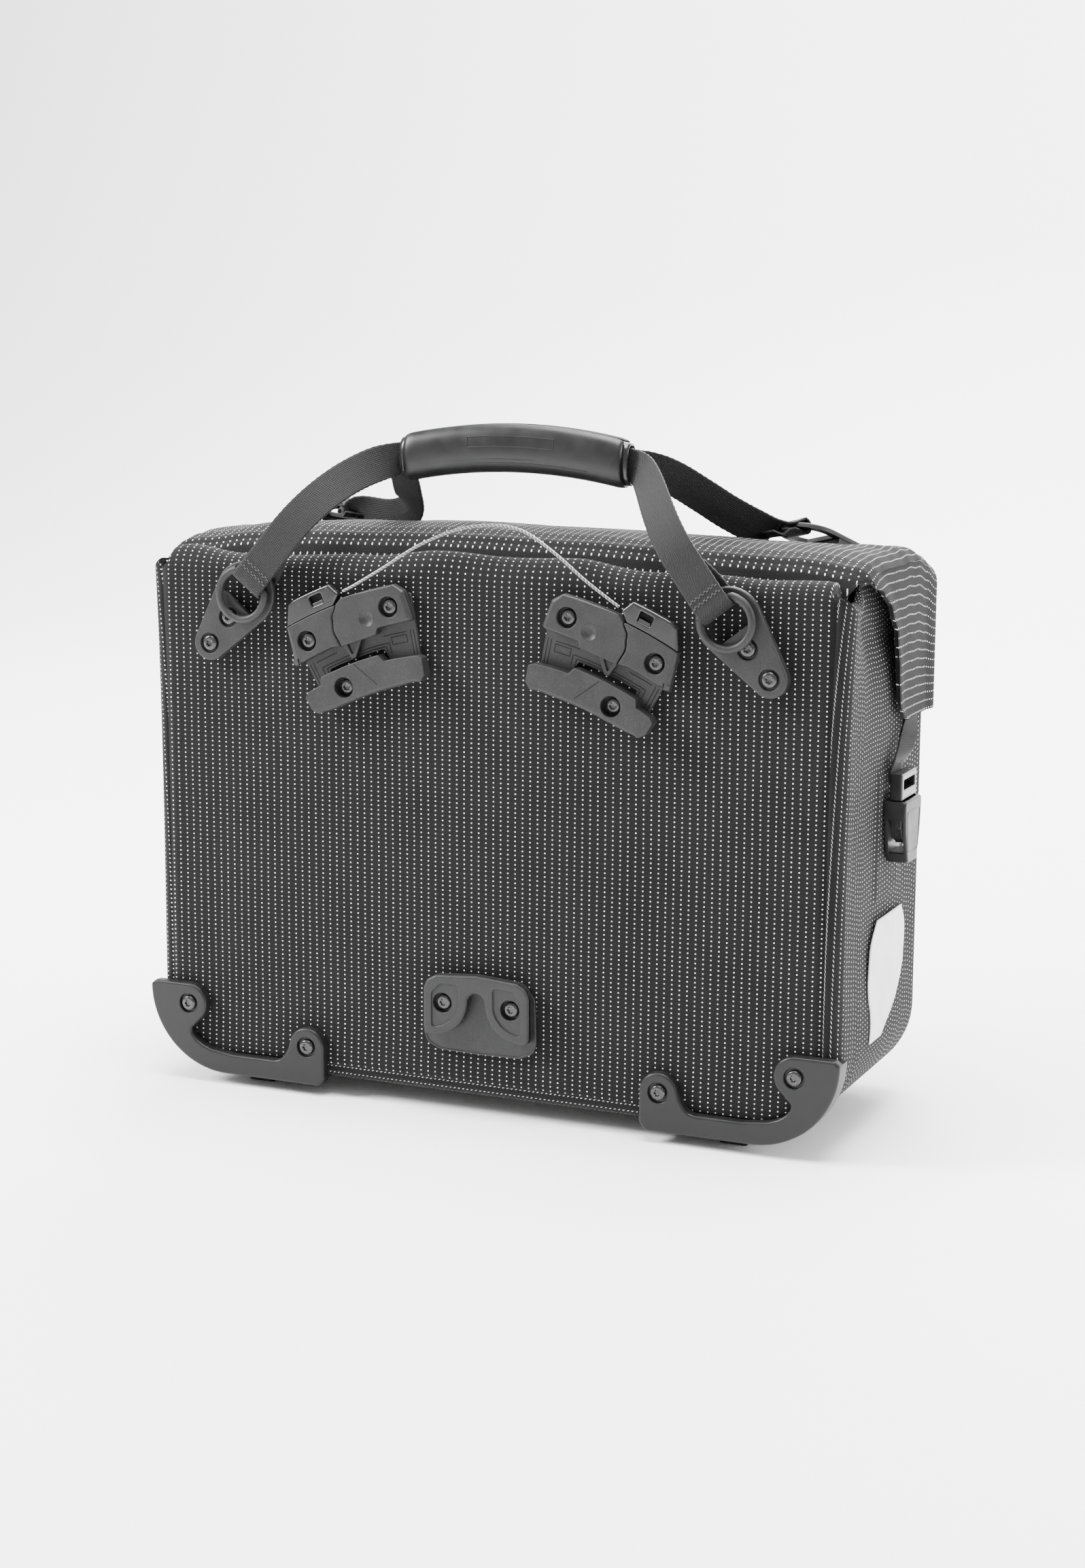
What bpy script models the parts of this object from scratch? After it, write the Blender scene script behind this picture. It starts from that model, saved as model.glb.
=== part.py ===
"""Bicycle pannier: a briefcase bag with rack hooks, corner guards and a carrying handle.

Units are metres. X runs along the bag, Y from the back panel to the front, and Z up.
While the pieces are built, y = 0 is the cloth of the back panel and z = 0 is the floor.
At the end the whole bag is moved so that the origin is at the bottom centre of its box.
Hardware is drawn in a local frame: across, along, and out of the cloth it sits on.
"""
import math
from collections import namedtuple

import bmesh
import bpy
from mathutils import Matrix, Vector

# General clearances and cloth
GAP = 0.0003
CLOTH = 0.0016
WEBBING_WIDTH = 0.020
WEBBING = 0.0013

# Bag body
BODY_HALF_WIDTH = 0.208
BODY_DEPTH = 0.152
BODY_BOTTOM = 0.0097
BODY_TOP = 0.300
CORNER_RADIUS = 0.046
CORNER_STEPS = 6
BACK_EDGE_RADIUS = 0.009
FRONT_EDGE_RADIUS = 0.012
TOP_FLARE = 0.0068
FRONT_TOP_DROP = 0.020
FRONT_BULGE = 0.0025
FOLD_DEPTH = 0.012
FOLD_START = 0.010
FOLD_END = 0.055
LIP_WIDTH = 0.012

# Back panel, a sheet whose top folds over
PANEL_THICKNESS = 0.0015
PANEL_INSET = 0.0085
PANEL_TOP = 0.3110
FOLD_RADIUS = 0.0115

# Lid
LID_SIDE_CLEARANCE = 0.0045
LID_FRONT_CLEARANCE = 0.0055
LID_HALF_WIDTH = BODY_HALF_WIDTH + LID_SIDE_CLEARANCE
LID_FRONT = BODY_DEPTH + LID_FRONT_CLEARANCE
LID_TOP = 0.3295
LID_EDGE_RADIUS = 0.016
LID_REAR = 0.0180
WING_BOTTOM = 0.2262
FLAP_BOTTOM = 0.1900

# Reflector patches on the sides
REFLECTOR_THICKNESS = 0.0006
REFLECTOR_BACK = 0.050
REFLECTOR_LENGTH = 0.067
REFLECTOR_BOTTOM = 0.052
REFLECTOR_HEIGHT = 0.068

# Corner guards and feet
GUARD_PROUD = 0.0060
GUARD_WALL = 0.0030
GUARD_OUTER_SCREW_IN = 0.0220
GUARD_OUTER_SCREW_UP = 0.0367
GUARD_INNER_SCREW_IN = 0.0996
GUARD_INNER_SCREW_UP = 0.0191
GUARD_OUTER_SCREW = (BODY_HALF_WIDTH - GUARD_OUTER_SCREW_IN, BODY_BOTTOM + GUARD_OUTER_SCREW_UP)
GUARD_INNER_SCREW = (BODY_HALF_WIDTH - GUARD_INNER_SCREW_IN, BODY_BOTTOM + GUARD_INNER_SCREW_UP)
GUARD_OUTER_BOSS = 0.0118
GUARD_INNER_BOSS = 0.0112
GUARD_BAR_HEIGHT = 0.0121
GUARD_SIDE_FLANGE = 0.0085
GUARD_FLOOR_FLANGE = 0.0270
FOOT_IN = 0.0612
FOOT_CENTRE = BODY_HALF_WIDTH - FOOT_IN
FOOT_LENGTH = 0.0155
FOOT_TOP_LENGTH = 0.0220
FOOT_FRONT = 0.0100
FOOT_WIDTH = 0.0150
FRONT_FOOT_BACK = 0.1230

# Rack hooks, laid out on arcs about the lower hook
PIVOT_Z = 0.0654
PLATE_THICKNESS = 0.0020
BLOCK_PROUD = 0.0080
RAIL_PROUD = 0.0100
SLIDER_PROUD = 0.0072
HOOK_INNER_ANGLE = 10.2
HOOK_OUTER_ANGLE = 31.4
CHANNEL_TOP = 0.2140
BLOCK_STEP = 0.0035
BLOCK_TOP = 0.2391
ARM_TOP = 0.2366
SLIDER_TOP = 0.2488
RAIL_TOP = 0.2030
RAIL_END_DROP = 0.0040
RAIL_BOTTOM = 0.1833
RAIL_FLANK = 0.0078
BASE_TOP = 0.2330
BASE_BOTTOM = 0.1860
BASE_INNER_ANGLE = 10.5
BASE_OUTER_ANGLE = 30.0
LATCH_ANGLE = 21.0
LATCH_WIDTH = 0.0100
LATCH_TIP = 0.2053
LATCH_THICKNESS = 0.0030
LATCH_TRAVEL = 0.0060
HOOK_SCREWS = ((0.2274, 13.6), (0.2248, 27.6), (0.1923, 24.6))

# Lower hook
LOWER_PLATE_HALF = 0.0346
LOWER_PLATE_BOTTOM = 0.0362
LOWER_PLATE_TOP = 0.0800
LOWER_CAP_HALF = 0.0323
LOWER_CAP_BOTTOM = 0.0462
LOWER_CAP_TOP = 0.0830
LOWER_CAP_PROUD = 0.0085
LOWER_SLOT_HALF = 0.0053
LOWER_SLOT_TOP = 0.0727
LOWER_SCREW = (0.0207, 0.0655)
PAD_DEPTH = 0.0008

# Screws
HEAD_RADIUS = 0.0045
HEAD_HEIGHT = 0.0022
RECESS_RADIUS = 0.0058
RECESS_FLOOR = 0.0040
SOCKET_RADIUS = 0.0017
SOCKET_DEPTH = 0.0010
ROUND_SIDES = 10
SCREW_SIDES = 8

# Ring plates and D rings, drawn from the centre of the round lobe
RING_PLATE_CENTRE = (0.1445, 0.2889)
RING_PLATE_TILT = 38.4
LOBE_RADIUS = 0.0185
TIP_RADIUS = 0.0100
TIP_DISTANCE = 0.0373
SECOND_SCREW = 0.0174
RING_HOLE = 0.0135
RING_CHORD = 0.0073
RIM_THICKNESS = 0.0028
RING_PLATE_PROUD = 0.0060
D_RING_RADIUS = 0.0143
D_RING_STOCK = 0.0022
D_RING_BAR = 0.0095
D_RING_OUT = 0.0093
FRONT_PLATE_X = 0.1445
FRONT_PLATE_Y = 0.1230
FRONT_PLATE_TURN = 38.4

# Handle
GRIP_Y = 0.0450
GRIP_HALF_LENGTH = 0.0660
GRIP_Z = 0.3725
GRIP_SAG = 0.0070
GRIP_HALF_HEIGHT = 0.0140
GRIP_HALF_DEPTH = 0.0092
COVER_WALL = 0.0018
LINER_WALL = 0.0012
LINER_EXTRA = 0.0030
COVER_SLIT = 24.0
GRIP_TUCK = 0.0018

# Side buckles
BUCKLE_Y = 0.0860
SOCKET_BOTTOM = 0.1504
SOCKET_HEIGHT = 0.0350
SOCKET_HALF = 0.0150
SOCKET_THICKNESS = 0.0132
SOCKET_WALL = 0.0020
PLUG_HEIGHT = 0.0150
PLUG_HALF = 0.0135
PLUG_THICKNESS = 0.0070
PLUG_BAR = 0.0035
STRAP_END = 0.0120

# Release cable
CABLE_RADIUS = 0.0009
CABLE_POINTS = 20

# Colour, roughness and metallic value of each finish
Finish = namedtuple("Finish", "colour roughness metallic")
FINISHES = {
    "woven_cloth": Finish((0.045, 0.045, 0.048), 0.85, 0.0),
    "webbing": Finish((0.020, 0.020, 0.021), 0.80, 0.0),
    "matte_moulding": Finish((0.050, 0.050, 0.053), 0.50, 0.0),
    "gloss_moulding": Finish((0.020, 0.020, 0.022), 0.18, 0.0),
    "dark_screw": Finish((0.060, 0.060, 0.062), 0.25, 0.9),
    "reflective_film": Finish((0.520, 0.520, 0.530), 0.35, 0.0),
    "cable_sheath": Finish((0.080, 0.080, 0.082), 0.45, 0.0),
}

# Waves of the folded top: place across the bag and rise, in shares of half width and fold radius
Wave = namedtuple("Wave", "across rise")
FOLD_WAVES = [
    Wave(-1.00, -0.20), Wave(-0.90, -0.02), Wave(-0.76, -0.27), Wave(-0.60, -0.05),
    Wave(-0.36, 0.12), Wave(-0.15, 0.50), Wave(0.05, 0.36), Wave(0.26, 0.46),
    Wave(0.43, 0.02), Wave(0.64, 0.02), Wave(0.76, -0.25), Wave(0.88, -0.40), Wave(1.00, -0.15),
]

# Crown of the lid from rear to front: place and drop, in shares of lid depth and edge radius
Crown = namedtuple("Crown", "along drop")
LID_CROWN = [
    Crown(0.000, 1.55), Crown(0.012, 1.02), Crown(0.035, 0.62), Crown(0.085, 0.28),
    Crown(0.170, 0.08), Crown(0.280, 0.00), Crown(0.420, 0.04), Crown(0.560, 0.24),
    Crown(0.700, 0.54), Crown(0.830, 0.90), Crown(0.930, 1.28), Crown(1.000, 1.70),
]

# Droop of the lid towards its ends: place across and drop, in shares of half width and edge radius
Droop = namedtuple("Droop", "across drop")
LID_DROOP = [
    Droop(-1.00, 0.90), Droop(-0.90, 0.52), Droop(-0.72, 0.26), Droop(-0.50, 0.10),
    Droop(-0.15, 0.00), Droop(0.20, 0.05), Droop(0.50, 0.16), Droop(0.80, 0.26), Droop(1.00, 0.50),
]

# Rear edge of a wing: height above its bottom and place, in shares of wing height and lid depth
WingEdge = namedtuple("WingEdge", "height along")
WING_EDGES = [
    WingEdge(0.00, 0.640), WingEdge(0.10, 0.560), WingEdge(0.30, 0.560), WingEdge(0.55, 0.530),
    WingEdge(0.70, 0.440), WingEdge(0.85, 0.270), WingEdge(1.00, 0.120),
]

# Outline of the reflector: height and its two edges, in shares of its height and length
ReflectorRow = namedtuple("ReflectorRow", "height back front")
REFLECTOR_ROWS = [
    ReflectorRow(0.00, 0.08, 0.34), ReflectorRow(0.09, 0.10, 0.56), ReflectorRow(0.20, 0.12, 0.75),
    ReflectorRow(0.34, 0.05, 0.87), ReflectorRow(0.48, 0.00, 0.97), ReflectorRow(0.66, 0.02, 0.99),
    ReflectorRow(0.86, 0.05, 1.00), ReflectorRow(0.96, 0.18, 0.94), ReflectorRow(1.00, 0.26, 0.84),
]

# Seam between the two blocks of a hook: place up the arm and angle in degrees
SeamPoint = namedtuple("SeamPoint", "up angle")
BLOCK_SEAM = [SeamPoint(0.0, 22.7), SeamPoint(0.40, 23.0), SeamPoint(0.72, 22.5), SeamPoint(1.0, 21.4)]

# Rail of a hook: angle in degrees, and drop of its top and rise of its bottom from the full section
RailRow = namedtuple("RailRow", "angle drop rise")
RAIL_ROWS = [
    RailRow(9.3, 0.0060, 0.0040), RailRow(10.3, 0.0045, 0.0008), RailRow(16.1, 0.0040, 0.0),
    RailRow(16.9, 0.0, 0.0), RailRow(22.3, 0.0, 0.0), RailRow(27.7, 0.0, 0.0002),
    RailRow(28.5, 0.0040, 0.0005), RailRow(31.0, 0.0040, 0.0022), RailRow(31.9, 0.0058, 0.0060),
]

# Straps from a ring plate to the grip: side, shares of the leg that each end pulls straight,
# and lean to the front and fall at the grip for each step outwards
Leg = namedtuple("Leg", "side plate_pull grip_pull lean fall")
BACK_LEGS = (Leg(-1, 0.48, 0.24, -0.8, 0.20), Leg(1, 0.40, 0.24, -0.8, 0.20))
FRONT_LEGS = (Leg(-1, 0.40, 0.26, 1.6, 0.60), Leg(1, 0.26, 0.26, 1.2, 0.30))

# Buckle strap above the plug: shift to the front in strap widths, height in shares of the way up to
# the wing, place out of the gusset in shares of the plug's middle, and twist in degrees
Twist = namedtuple("Twist", "shift up proud turn")
STRAP_TWISTS = [
    Twist(0.30, 0.44, 0.82, 40.0), Twist(0.70, 0.66, 0.66, 45.0), Twist(1.075, 0.83, 0.45, 25.0),
]
STRAP_END_SHIFT = 1.50

# Route of the release cable, chosen by hand
CABLE_ROUTE = [
    (-0.0826, -0.0050, 0.2934), (-0.0760, -0.0050, 0.2968), (-0.0590, -0.0045, 0.3068),
    (-0.0370, -0.0030, 0.3205), (-0.0150, -0.0005, 0.3298), (0.0050, 0.0010, 0.3330),
    (0.0240, 0.0000, 0.3308), (0.0430, -0.0028, 0.3208), (0.0620, -0.0045, 0.3070),
    (0.0770, -0.0050, 0.2970), (0.0826, -0.0050, 0.2934),
]

PARTS = bpy.data.collections.new("bicycle_pannier")
CUTTERS = bpy.data.collections.new("cutters")
BACK_FRAME = Matrix(((1, 0, 0, 0), (0, 0, -1, 0), (0, 1, 0, 0), (0, 0, 0, 1)))


def clear_scene():
    """Remove what the file holds and link the two collections."""
    for thing in list(bpy.data.objects):
        bpy.data.objects.remove(thing, do_unlink=True)
    bpy.context.scene.collection.children.link(PARTS)
    bpy.context.scene.collection.children.link(CUTTERS)


def finish_material(name):
    """A Principled material for one finish, made once."""
    if name in bpy.data.materials:
        return bpy.data.materials[name]
    finish = FINISHES[name]
    material = bpy.data.materials.new(name)
    material.use_nodes = True
    shader = material.node_tree.nodes["Principled BSDF"]
    shader.inputs["Base Color"].default_value = (*finish.colour, 1.0)
    shader.inputs["Roughness"].default_value = finish.roughness
    shader.inputs["Metallic"].default_value = finish.metallic
    material.diffuse_color = (*finish.colour, 1.0)
    return material


def blend(rows, at, place, value):
    """Value of a table at a place, eased smoothly between its rows."""
    if at <= getattr(rows[0], place):
        return getattr(rows[0], value)
    for low, high in zip(rows, rows[1:]):
        start, end = getattr(low, place), getattr(high, place)
        if at <= end:
            t = ease((at - start) / (end - start))
            return getattr(low, value) * (1 - t) + getattr(high, value) * t
    return getattr(rows[-1], value)


def arc(centre, radius, start, end, steps):
    """Points on a circle from one angle to another, in degrees from +X."""
    points = []
    for i in range(steps + 1):
        angle = math.radians(start + (end - start) * i / steps)
        points.append((centre[0] + radius * math.cos(angle), centre[1] + radius * math.sin(angle)))
    return points


def link_part(name, mesh, finish, smooth_angle=35.0):
    """Put a mesh in the parts collection as the node of that name."""
    node = bpy.data.objects.new(name, mesh)
    mesh.materials.clear()
    mesh.materials.append(finish_material(finish))
    mesh.shade_smooth()
    mesh.set_sharp_from_angle(angle=math.radians(smooth_angle))
    PARTS.objects.link(node)
    return node


def link_cutter(name, mesh):
    """Put a mesh in the cutters collection, hidden from the render."""
    cutter = bpy.data.objects.new(name, mesh)
    cutter.hide_render = True
    cutter.display_type = "WIRE"
    CUTTERS.objects.link(cutter)
    return cutter


def mesh_from(bm, name, frame=None):
    """Turn a bmesh into a mesh in its frame, with faces pointing out."""
    if frame is not None:
        bm.transform(frame)
    bmesh.ops.recalc_face_normals(bm, faces=bm.faces)
    if bm.calc_volume(signed=True) < 0:
        bmesh.ops.reverse_faces(bm, faces=bm.faces)
    mesh = bpy.data.meshes.new(name)
    bm.to_mesh(mesh)
    bm.free()
    return mesh


def add_grid(bm, rows):
    """Add a sheet of quads through rows of points."""
    grid = [[bm.verts.new(point) for point in row] for row in rows]
    for low, high in zip(grid, grid[1:]):
        for i in range(len(low) - 1):
            corners = (low[i], low[i + 1], high[i + 1], high[i])
            bm.faces.new(corners)
    return grid


def sheet_solid(name, grids, thickness, finish, offset=-1.0):
    """One closed wall of the given thickness inside joined sheets of quads."""
    bm = bmesh.new()
    for rows in grids:
        add_grid(bm, rows)
    bmesh.ops.remove_doubles(bm, verts=bm.verts, dist=0.00001)
    bmesh.ops.recalc_face_normals(bm, faces=bm.faces)
    middle = sum((vert.co for vert in bm.verts), Vector()) / len(bm.verts)
    outward = sum((face.calc_center_median() - middle).dot(face.normal) * face.calc_area() for face in bm.faces)
    if outward < 0:
        bmesh.ops.reverse_faces(bm, faces=bm.faces)
    mesh = bpy.data.meshes.new(name)
    bm.to_mesh(mesh)
    bm.free()
    node = link_part(name, mesh, finish, 50.0)
    wall = node.modifiers.new("wall", "SOLIDIFY")
    wall.thickness = thickness
    wall.offset = offset
    return node


def loft_mesh(name, sections, frame=None):
    """A closed body through rings of points, capped at both ends."""
    bm = bmesh.new()
    rings = [[bm.verts.new(point) for point in ring] for ring in sections]
    for low, high in zip(rings, rings[1:]):
        for i in range(len(low)):
            j = (i + 1) % len(low)
            bm.faces.new((low[i], low[j], high[j], high[i]))
    bm.faces.new(rings[0])
    bm.faces.new(rings[-1])
    return mesh_from(bm, name, frame)


def outline_mesh(name, points, low, high, frame=BACK_FRAME):
    """A flat outline filled and extruded between two heights above the cloth."""
    curve = bpy.data.curves.new(name + "_outline", "CURVE")
    curve.dimensions = "2D"
    curve.fill_mode = "BOTH"
    curve.extrude = (high - low) / 2
    spline = curve.splines.new("POLY")
    spline.points.add(len(points) - 1)
    for point, place in zip(spline.points, points):
        point.co = (place[0], place[1], 0.0, 1.0)
    spline.use_cyclic_u = True
    guide = bpy.data.objects.new(name + "_outline", curve)
    CUTTERS.objects.link(guide)
    mesh = bpy.data.meshes.new_from_object(guide.evaluated_get(bpy.context.evaluated_depsgraph_get()))
    bpy.data.objects.remove(guide, do_unlink=True)
    bpy.data.curves.remove(curve)
    bm = bmesh.new()
    bm.from_mesh(mesh)
    bpy.data.meshes.remove(mesh)
    bmesh.ops.remove_doubles(bm, verts=bm.verts, dist=0.00001)
    bmesh.ops.dissolve_limit(bm, angle_limit=math.radians(1.0), verts=bm.verts, edges=bm.edges)
    bmesh.ops.translate(bm, verts=bm.verts, vec=(0, 0, (high + low) / 2))
    return mesh_from(bm, name, frame)


def disc_mesh(name, centre, radius, low, high, frame=BACK_FRAME, sides=ROUND_SIDES):
    """A round drum standing on the cloth between two heights."""
    bm = bmesh.new()
    bmesh.ops.create_cone(bm, cap_ends=True, segments=sides, radius1=radius, radius2=radius, depth=high - low)
    bmesh.ops.translate(bm, verts=bm.verts, vec=(centre[0], centre[1], (low + high) / 2))
    return mesh_from(bm, name, frame)


def box_mesh(name, low, high, frame=None):
    """A box between two corners."""
    bm = bmesh.new()
    bmesh.ops.create_cube(bm, size=1.0)
    size = [b - a for a, b in zip(low, high)]
    middle = [(a + b) / 2 for a, b in zip(low, high)]
    bmesh.ops.scale(bm, verts=bm.verts, vec=size)
    bmesh.ops.translate(bm, verts=bm.verts, vec=middle)
    return mesh_from(bm, name, frame)


def combine(node, mesh, operation, solver="EXACT"):
    """Cut a shape from a node or join it on, with a Boolean."""
    tool = link_cutter(mesh.name, mesh)
    step = node.modifiers.new(operation.lower(), "BOOLEAN")
    step.operation = operation
    step.object = tool
    step.solver = solver


def cut(node, mesh, solver="EXACT"):
    """Cut a shape away from a node."""
    combine(node, mesh, "DIFFERENCE", solver)


def join(node, mesh):
    """Join a shape to a node."""
    combine(node, mesh, "UNION")


def soften(node, width, angle=50.0):
    """Break the sharp edges of a moulded piece."""
    edge = node.modifiers.new("edge", "BEVEL")
    edge.width = width
    edge.segments = 1
    edge.limit_method = "ANGLE"
    edge.angle_limit = math.radians(angle)
    edge.harden_normals = False


def mirrored(points, side):
    """Points of the right-hand piece, turned over for the left."""
    return [(side * x, z) for x, z in points]


def side_name(side):
    """Word for the bag's side in node names."""
    return "right" if side > 0 else "left"


def ease(share):
    """A share held between nothing and one, eased at both ends."""
    share = min(1.0, max(0.0, share))
    return share * share * (3 - 2 * share)


def body_half_width(z, y=0.0):
    """Half width of the body: its top flares at the back and folds in under the lid."""
    start = BODY_BOTTOM + CORNER_RADIUS
    flare = TOP_FLARE * max(0.0, (z - start) / (BODY_TOP - start)) ** 4
    fold_from = WING_BOTTOM + 0.014
    fold = FOLD_DEPTH * max(0.0, (z - fold_from) / (BODY_TOP - fold_from)) ** 1.5
    share = ease((y - FOLD_START) / (FOLD_END - FOLD_START))
    return BODY_HALF_WIDTH + flare * (1 - share) - fold * share


def u_outline(inset, top, side_rows, arc_steps, floor_columns, y=0.0):
    """Points of the body's outline: down the left side, along the floor, up the right side."""
    centre = (BODY_HALF_WIDTH - CORNER_RADIUS, BODY_BOTTOM + CORNER_RADIUS)
    radius = CORNER_RADIUS - inset
    right = []
    for i in range(side_rows):
        z = top + (centre[1] - top) * i / side_rows
        right.append((body_half_width(z, y) - inset, z))
    right += arc(centre, radius, 0, -90, arc_steps)
    left = [(-x, z) for x, z in right]
    floor = []
    for i in range(1, floor_columns + 1):
        x = -centre[0] + 2 * centre[0] * i / (floor_columns + 1)
        floor.append((x, BODY_BOTTOM + inset))
    return left, floor, right[::-1]


def ladder(left, floor, right, place):
    """Rungs across a panel from edge to edge, even in height inside it, place gives each point."""
    columns = len(floor) + 2
    rungs = []
    for step, (low, high) in enumerate(zip(left[:-1], right[::-1][:-1])):
        level = left[0][1] + (left[-1][1] - left[0][1]) * step / (len(left) - 1)
        rung = [place(x, level) for x in spread(low[0], high[0], columns)]
        rung[0] = place(*low)
        rung[-1] = place(*high)
        rungs.append(rung)
    rungs.append([place(x, z) for x, z in [left[-1], *floor, right[0]]])
    return rungs


def body_top(y):
    """Height of the body's rim: it drops towards the front, under the lid."""
    return BODY_TOP - FRONT_TOP_DROP * ease(y / BODY_DEPTH)


def front_point(x, z):
    """A point of the front panel, which swells a little between its edges."""
    edge = body_half_width(z, BODY_DEPTH) - FRONT_EDGE_RADIUS
    drop = BODY_BOTTOM + CORNER_RADIUS - z
    if drop > 0:
        reach = (CORNER_RADIUS - FRONT_EDGE_RADIUS) ** 2 - drop ** 2
        edge = BODY_HALF_WIDTH - CORNER_RADIUS + math.sqrt(max(0.0, reach))
    across = max(0.0, 1 - (x / edge) ** 2)
    floor = BODY_BOTTOM + FRONT_EDGE_RADIUS
    up = max(0.0, math.sin(math.pi * (z - floor) / (body_top(BODY_DEPTH) - floor)))
    return (x, BODY_DEPTH + FRONT_BULGE * across * up, z)


def build_body_shell():
    """Gusset, front and the narrow return behind the back panel, in one cloth wall."""
    lip_y = PANEL_THICKNESS + GAP
    stations = [(lip_y, LIP_WIDTH + BACK_EDGE_RADIUS)]
    for angle in (0, 45, 90):
        turn = math.radians(angle)
        across = BACK_EDGE_RADIUS * (1 - math.sin(turn))
        stations.append((lip_y + BACK_EDGE_RADIUS * (1 - math.cos(turn)), across))
    for share in (0.36, 0.64):
        stations.append((BODY_DEPTH * share, 0.0))
    for angle in (0, 45, 90):
        turn = math.radians(angle)
        across = FRONT_EDGE_RADIUS * (1 - math.cos(turn))
        stations.append((BODY_DEPTH - FRONT_EDGE_RADIUS * (1 - math.sin(turn)), across))
    band = []
    for y, inset in stations:
        left, floor, right = u_outline(inset, body_top(y), 5, CORNER_STEPS, 5, y)
        band.append([(x, y, z) for x, z in [*left, *floor, *right]])
    left, floor, right = u_outline(FRONT_EDGE_RADIUS, body_top(BODY_DEPTH), 5, CORNER_STEPS, 5, BODY_DEPTH)
    panel = ladder(left, floor, right, front_point)
    return sheet_solid("body_shell", [band, panel], CLOTH, "woven_cloth")


def build_back_panel():
    """Stiffened back sheet, its top folded over towards the lid with soft waves."""
    low_top = PANEL_TOP - FOLD_RADIUS
    left, floor, right = u_outline(PANEL_INSET, low_top, 3, CORNER_STEPS, 11)
    rows = ladder(left, floor, right, lambda x, z: (x, 0.0, z))[::-1]
    edge = rows[-1]
    for angle in (30, 60, 90, 118):
        turn = math.radians(angle)
        rise = FOLD_RADIUS * math.sin(turn)
        row = []
        for x, _, z in edge:
            wave = FOLD_RADIUS * blend(FOLD_WAVES, x / BODY_HALF_WIDTH, "across", "rise")
            row.append((x, FOLD_RADIUS * (1 - math.cos(turn)), z + rise + wave * math.sin(turn) ** 2))
        rows.append(row)
    return sheet_solid("back_panel", [rows], PANEL_THICKNESS, "woven_cloth")


def lid_height(x, y):
    """Height of the lid's outer face above the floor."""
    along = (y - LID_REAR) / (LID_FRONT - LID_REAR)
    drop = blend(LID_CROWN, along, "along", "drop") + blend(LID_DROOP, x / LID_HALF_WIDTH, "across", "drop")
    return LID_TOP - LID_EDGE_RADIUS * drop


def lid_outline(y, wing_rows, arc_steps, roof_columns):
    """Points up the left wing, over the corner, across the roof and down the right wing."""
    inner = LID_HALF_WIDTH - LID_EDGE_RADIUS
    right = []
    height = lid_height(inner, y) - LID_EDGE_RADIUS
    for i in range(wing_rows):
        right.append((LID_HALF_WIDTH, WING_BOTTOM + (height - WING_BOTTOM) * i / wing_rows))
    right += arc((inner, height), LID_EDGE_RADIUS, 0, 90, arc_steps)
    height = lid_height(-inner, y) - LID_EDGE_RADIUS
    left = []
    for i in range(wing_rows):
        left.append((-LID_HALF_WIDTH, WING_BOTTOM + (height - WING_BOTTOM) * i / wing_rows))
    left += arc((-inner, height), LID_EDGE_RADIUS, 180, 90, arc_steps)
    roof = []
    for i in range(1, roof_columns + 1):
        x = -inner + 2 * inner * i / (roof_columns + 1)
        roof.append((x, lid_height(x, y)))
    return left, roof, right[::-1]


def lid_points(y):
    """The lid's outline at a depth as one run of points."""
    left, roof, right = lid_outline(y, 3, 3, 7)
    return [*left, *roof, *right]


def lid_rear(step, wing_rows, arc_steps):
    """Where the lid begins at a point of its outline, counted in steps from the wing's bottom."""
    if step < wing_rows:
        share = blend(WING_EDGES, step / wing_rows, "height", "along")
    else:
        share = WING_EDGES[-1].along * max(0.0, 1 - (step - wing_rows) / arc_steps)
    return LID_REAR + share * (LID_FRONT - LID_REAR)


def build_lid():
    """Lid sheet: rear roll, crowned roof, side wings and the flap over the front."""
    depth = LID_FRONT - LID_EDGE_RADIUS * 0.5 - LID_REAR
    shares = [crown.along for crown in LID_CROWN[:-1]]
    band = []
    for share in shares:
        row = []
        count = len(lid_points(LID_REAR))
        for i in range(count):
            rear = lid_rear(min(i, count - 1 - i), 3, 3)
            y = rear + share * (LID_REAR + depth - rear)
            x, z = lid_points(y)[i]
            row.append((x, y, z))
        band.append(row)
    front = lid_outline(LID_REAR + depth, 3, 3, 7)
    for angle in (25, 60, 90):
        turn = math.radians(angle)
        inset = LID_EDGE_RADIUS * 0.5 * (1 - math.cos(turn))
        y = LID_REAR + depth + LID_EDGE_RADIUS * 0.5 * math.sin(turn)
        row = []
        for x, z in [*front[0], *front[1], *front[2]]:
            row.append(shrink(x, z, inset, y))
        band.append(row)
    last = band[-1]
    count = len(front[0])
    left, roof, right = last[:count], last[count:-count], last[-count:]
    rungs = []
    for share, width in ((1.0, 0.62), (0.72, 0.86), (0.36, 0.96)):
        z = WING_BOTTOM + (FLAP_BOTTOM - WING_BOTTOM) * share
        rungs.append([(x * width, LID_FRONT, z) for x in spread(left[0][0], right[-1][0], len(roof) + 2)])
    for low, high in zip(left[:-1], right[::-1][:-1]):
        rungs.append([(x, LID_FRONT, low[2] + (high[2] - low[2]) * i / (len(roof) + 1))
                      for i, x in enumerate(spread(low[0], high[0], len(roof) + 2))])
    rungs.append([left[-1], *roof, right[0]])
    return sheet_solid("lid", [band, rungs], CLOTH, "woven_cloth")


def shrink(x, z, inset, y):
    """Pull a point of the lid's outline in towards its middle."""
    inner = LID_HALF_WIDTH - LID_EDGE_RADIUS
    if abs(x) >= LID_HALF_WIDTH - 1e-6:
        return (x - math.copysign(inset, x), y, z)
    if abs(x) <= inner + 1e-6:
        return (x, y, z - inset)
    return (x - math.copysign(inset * 0.7, x), y, z - inset * 0.7)


def spread(low, high, count):
    """Even places from low to high."""
    return [low + (high - low) * i / (count - 1) for i in range(count)]


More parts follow.
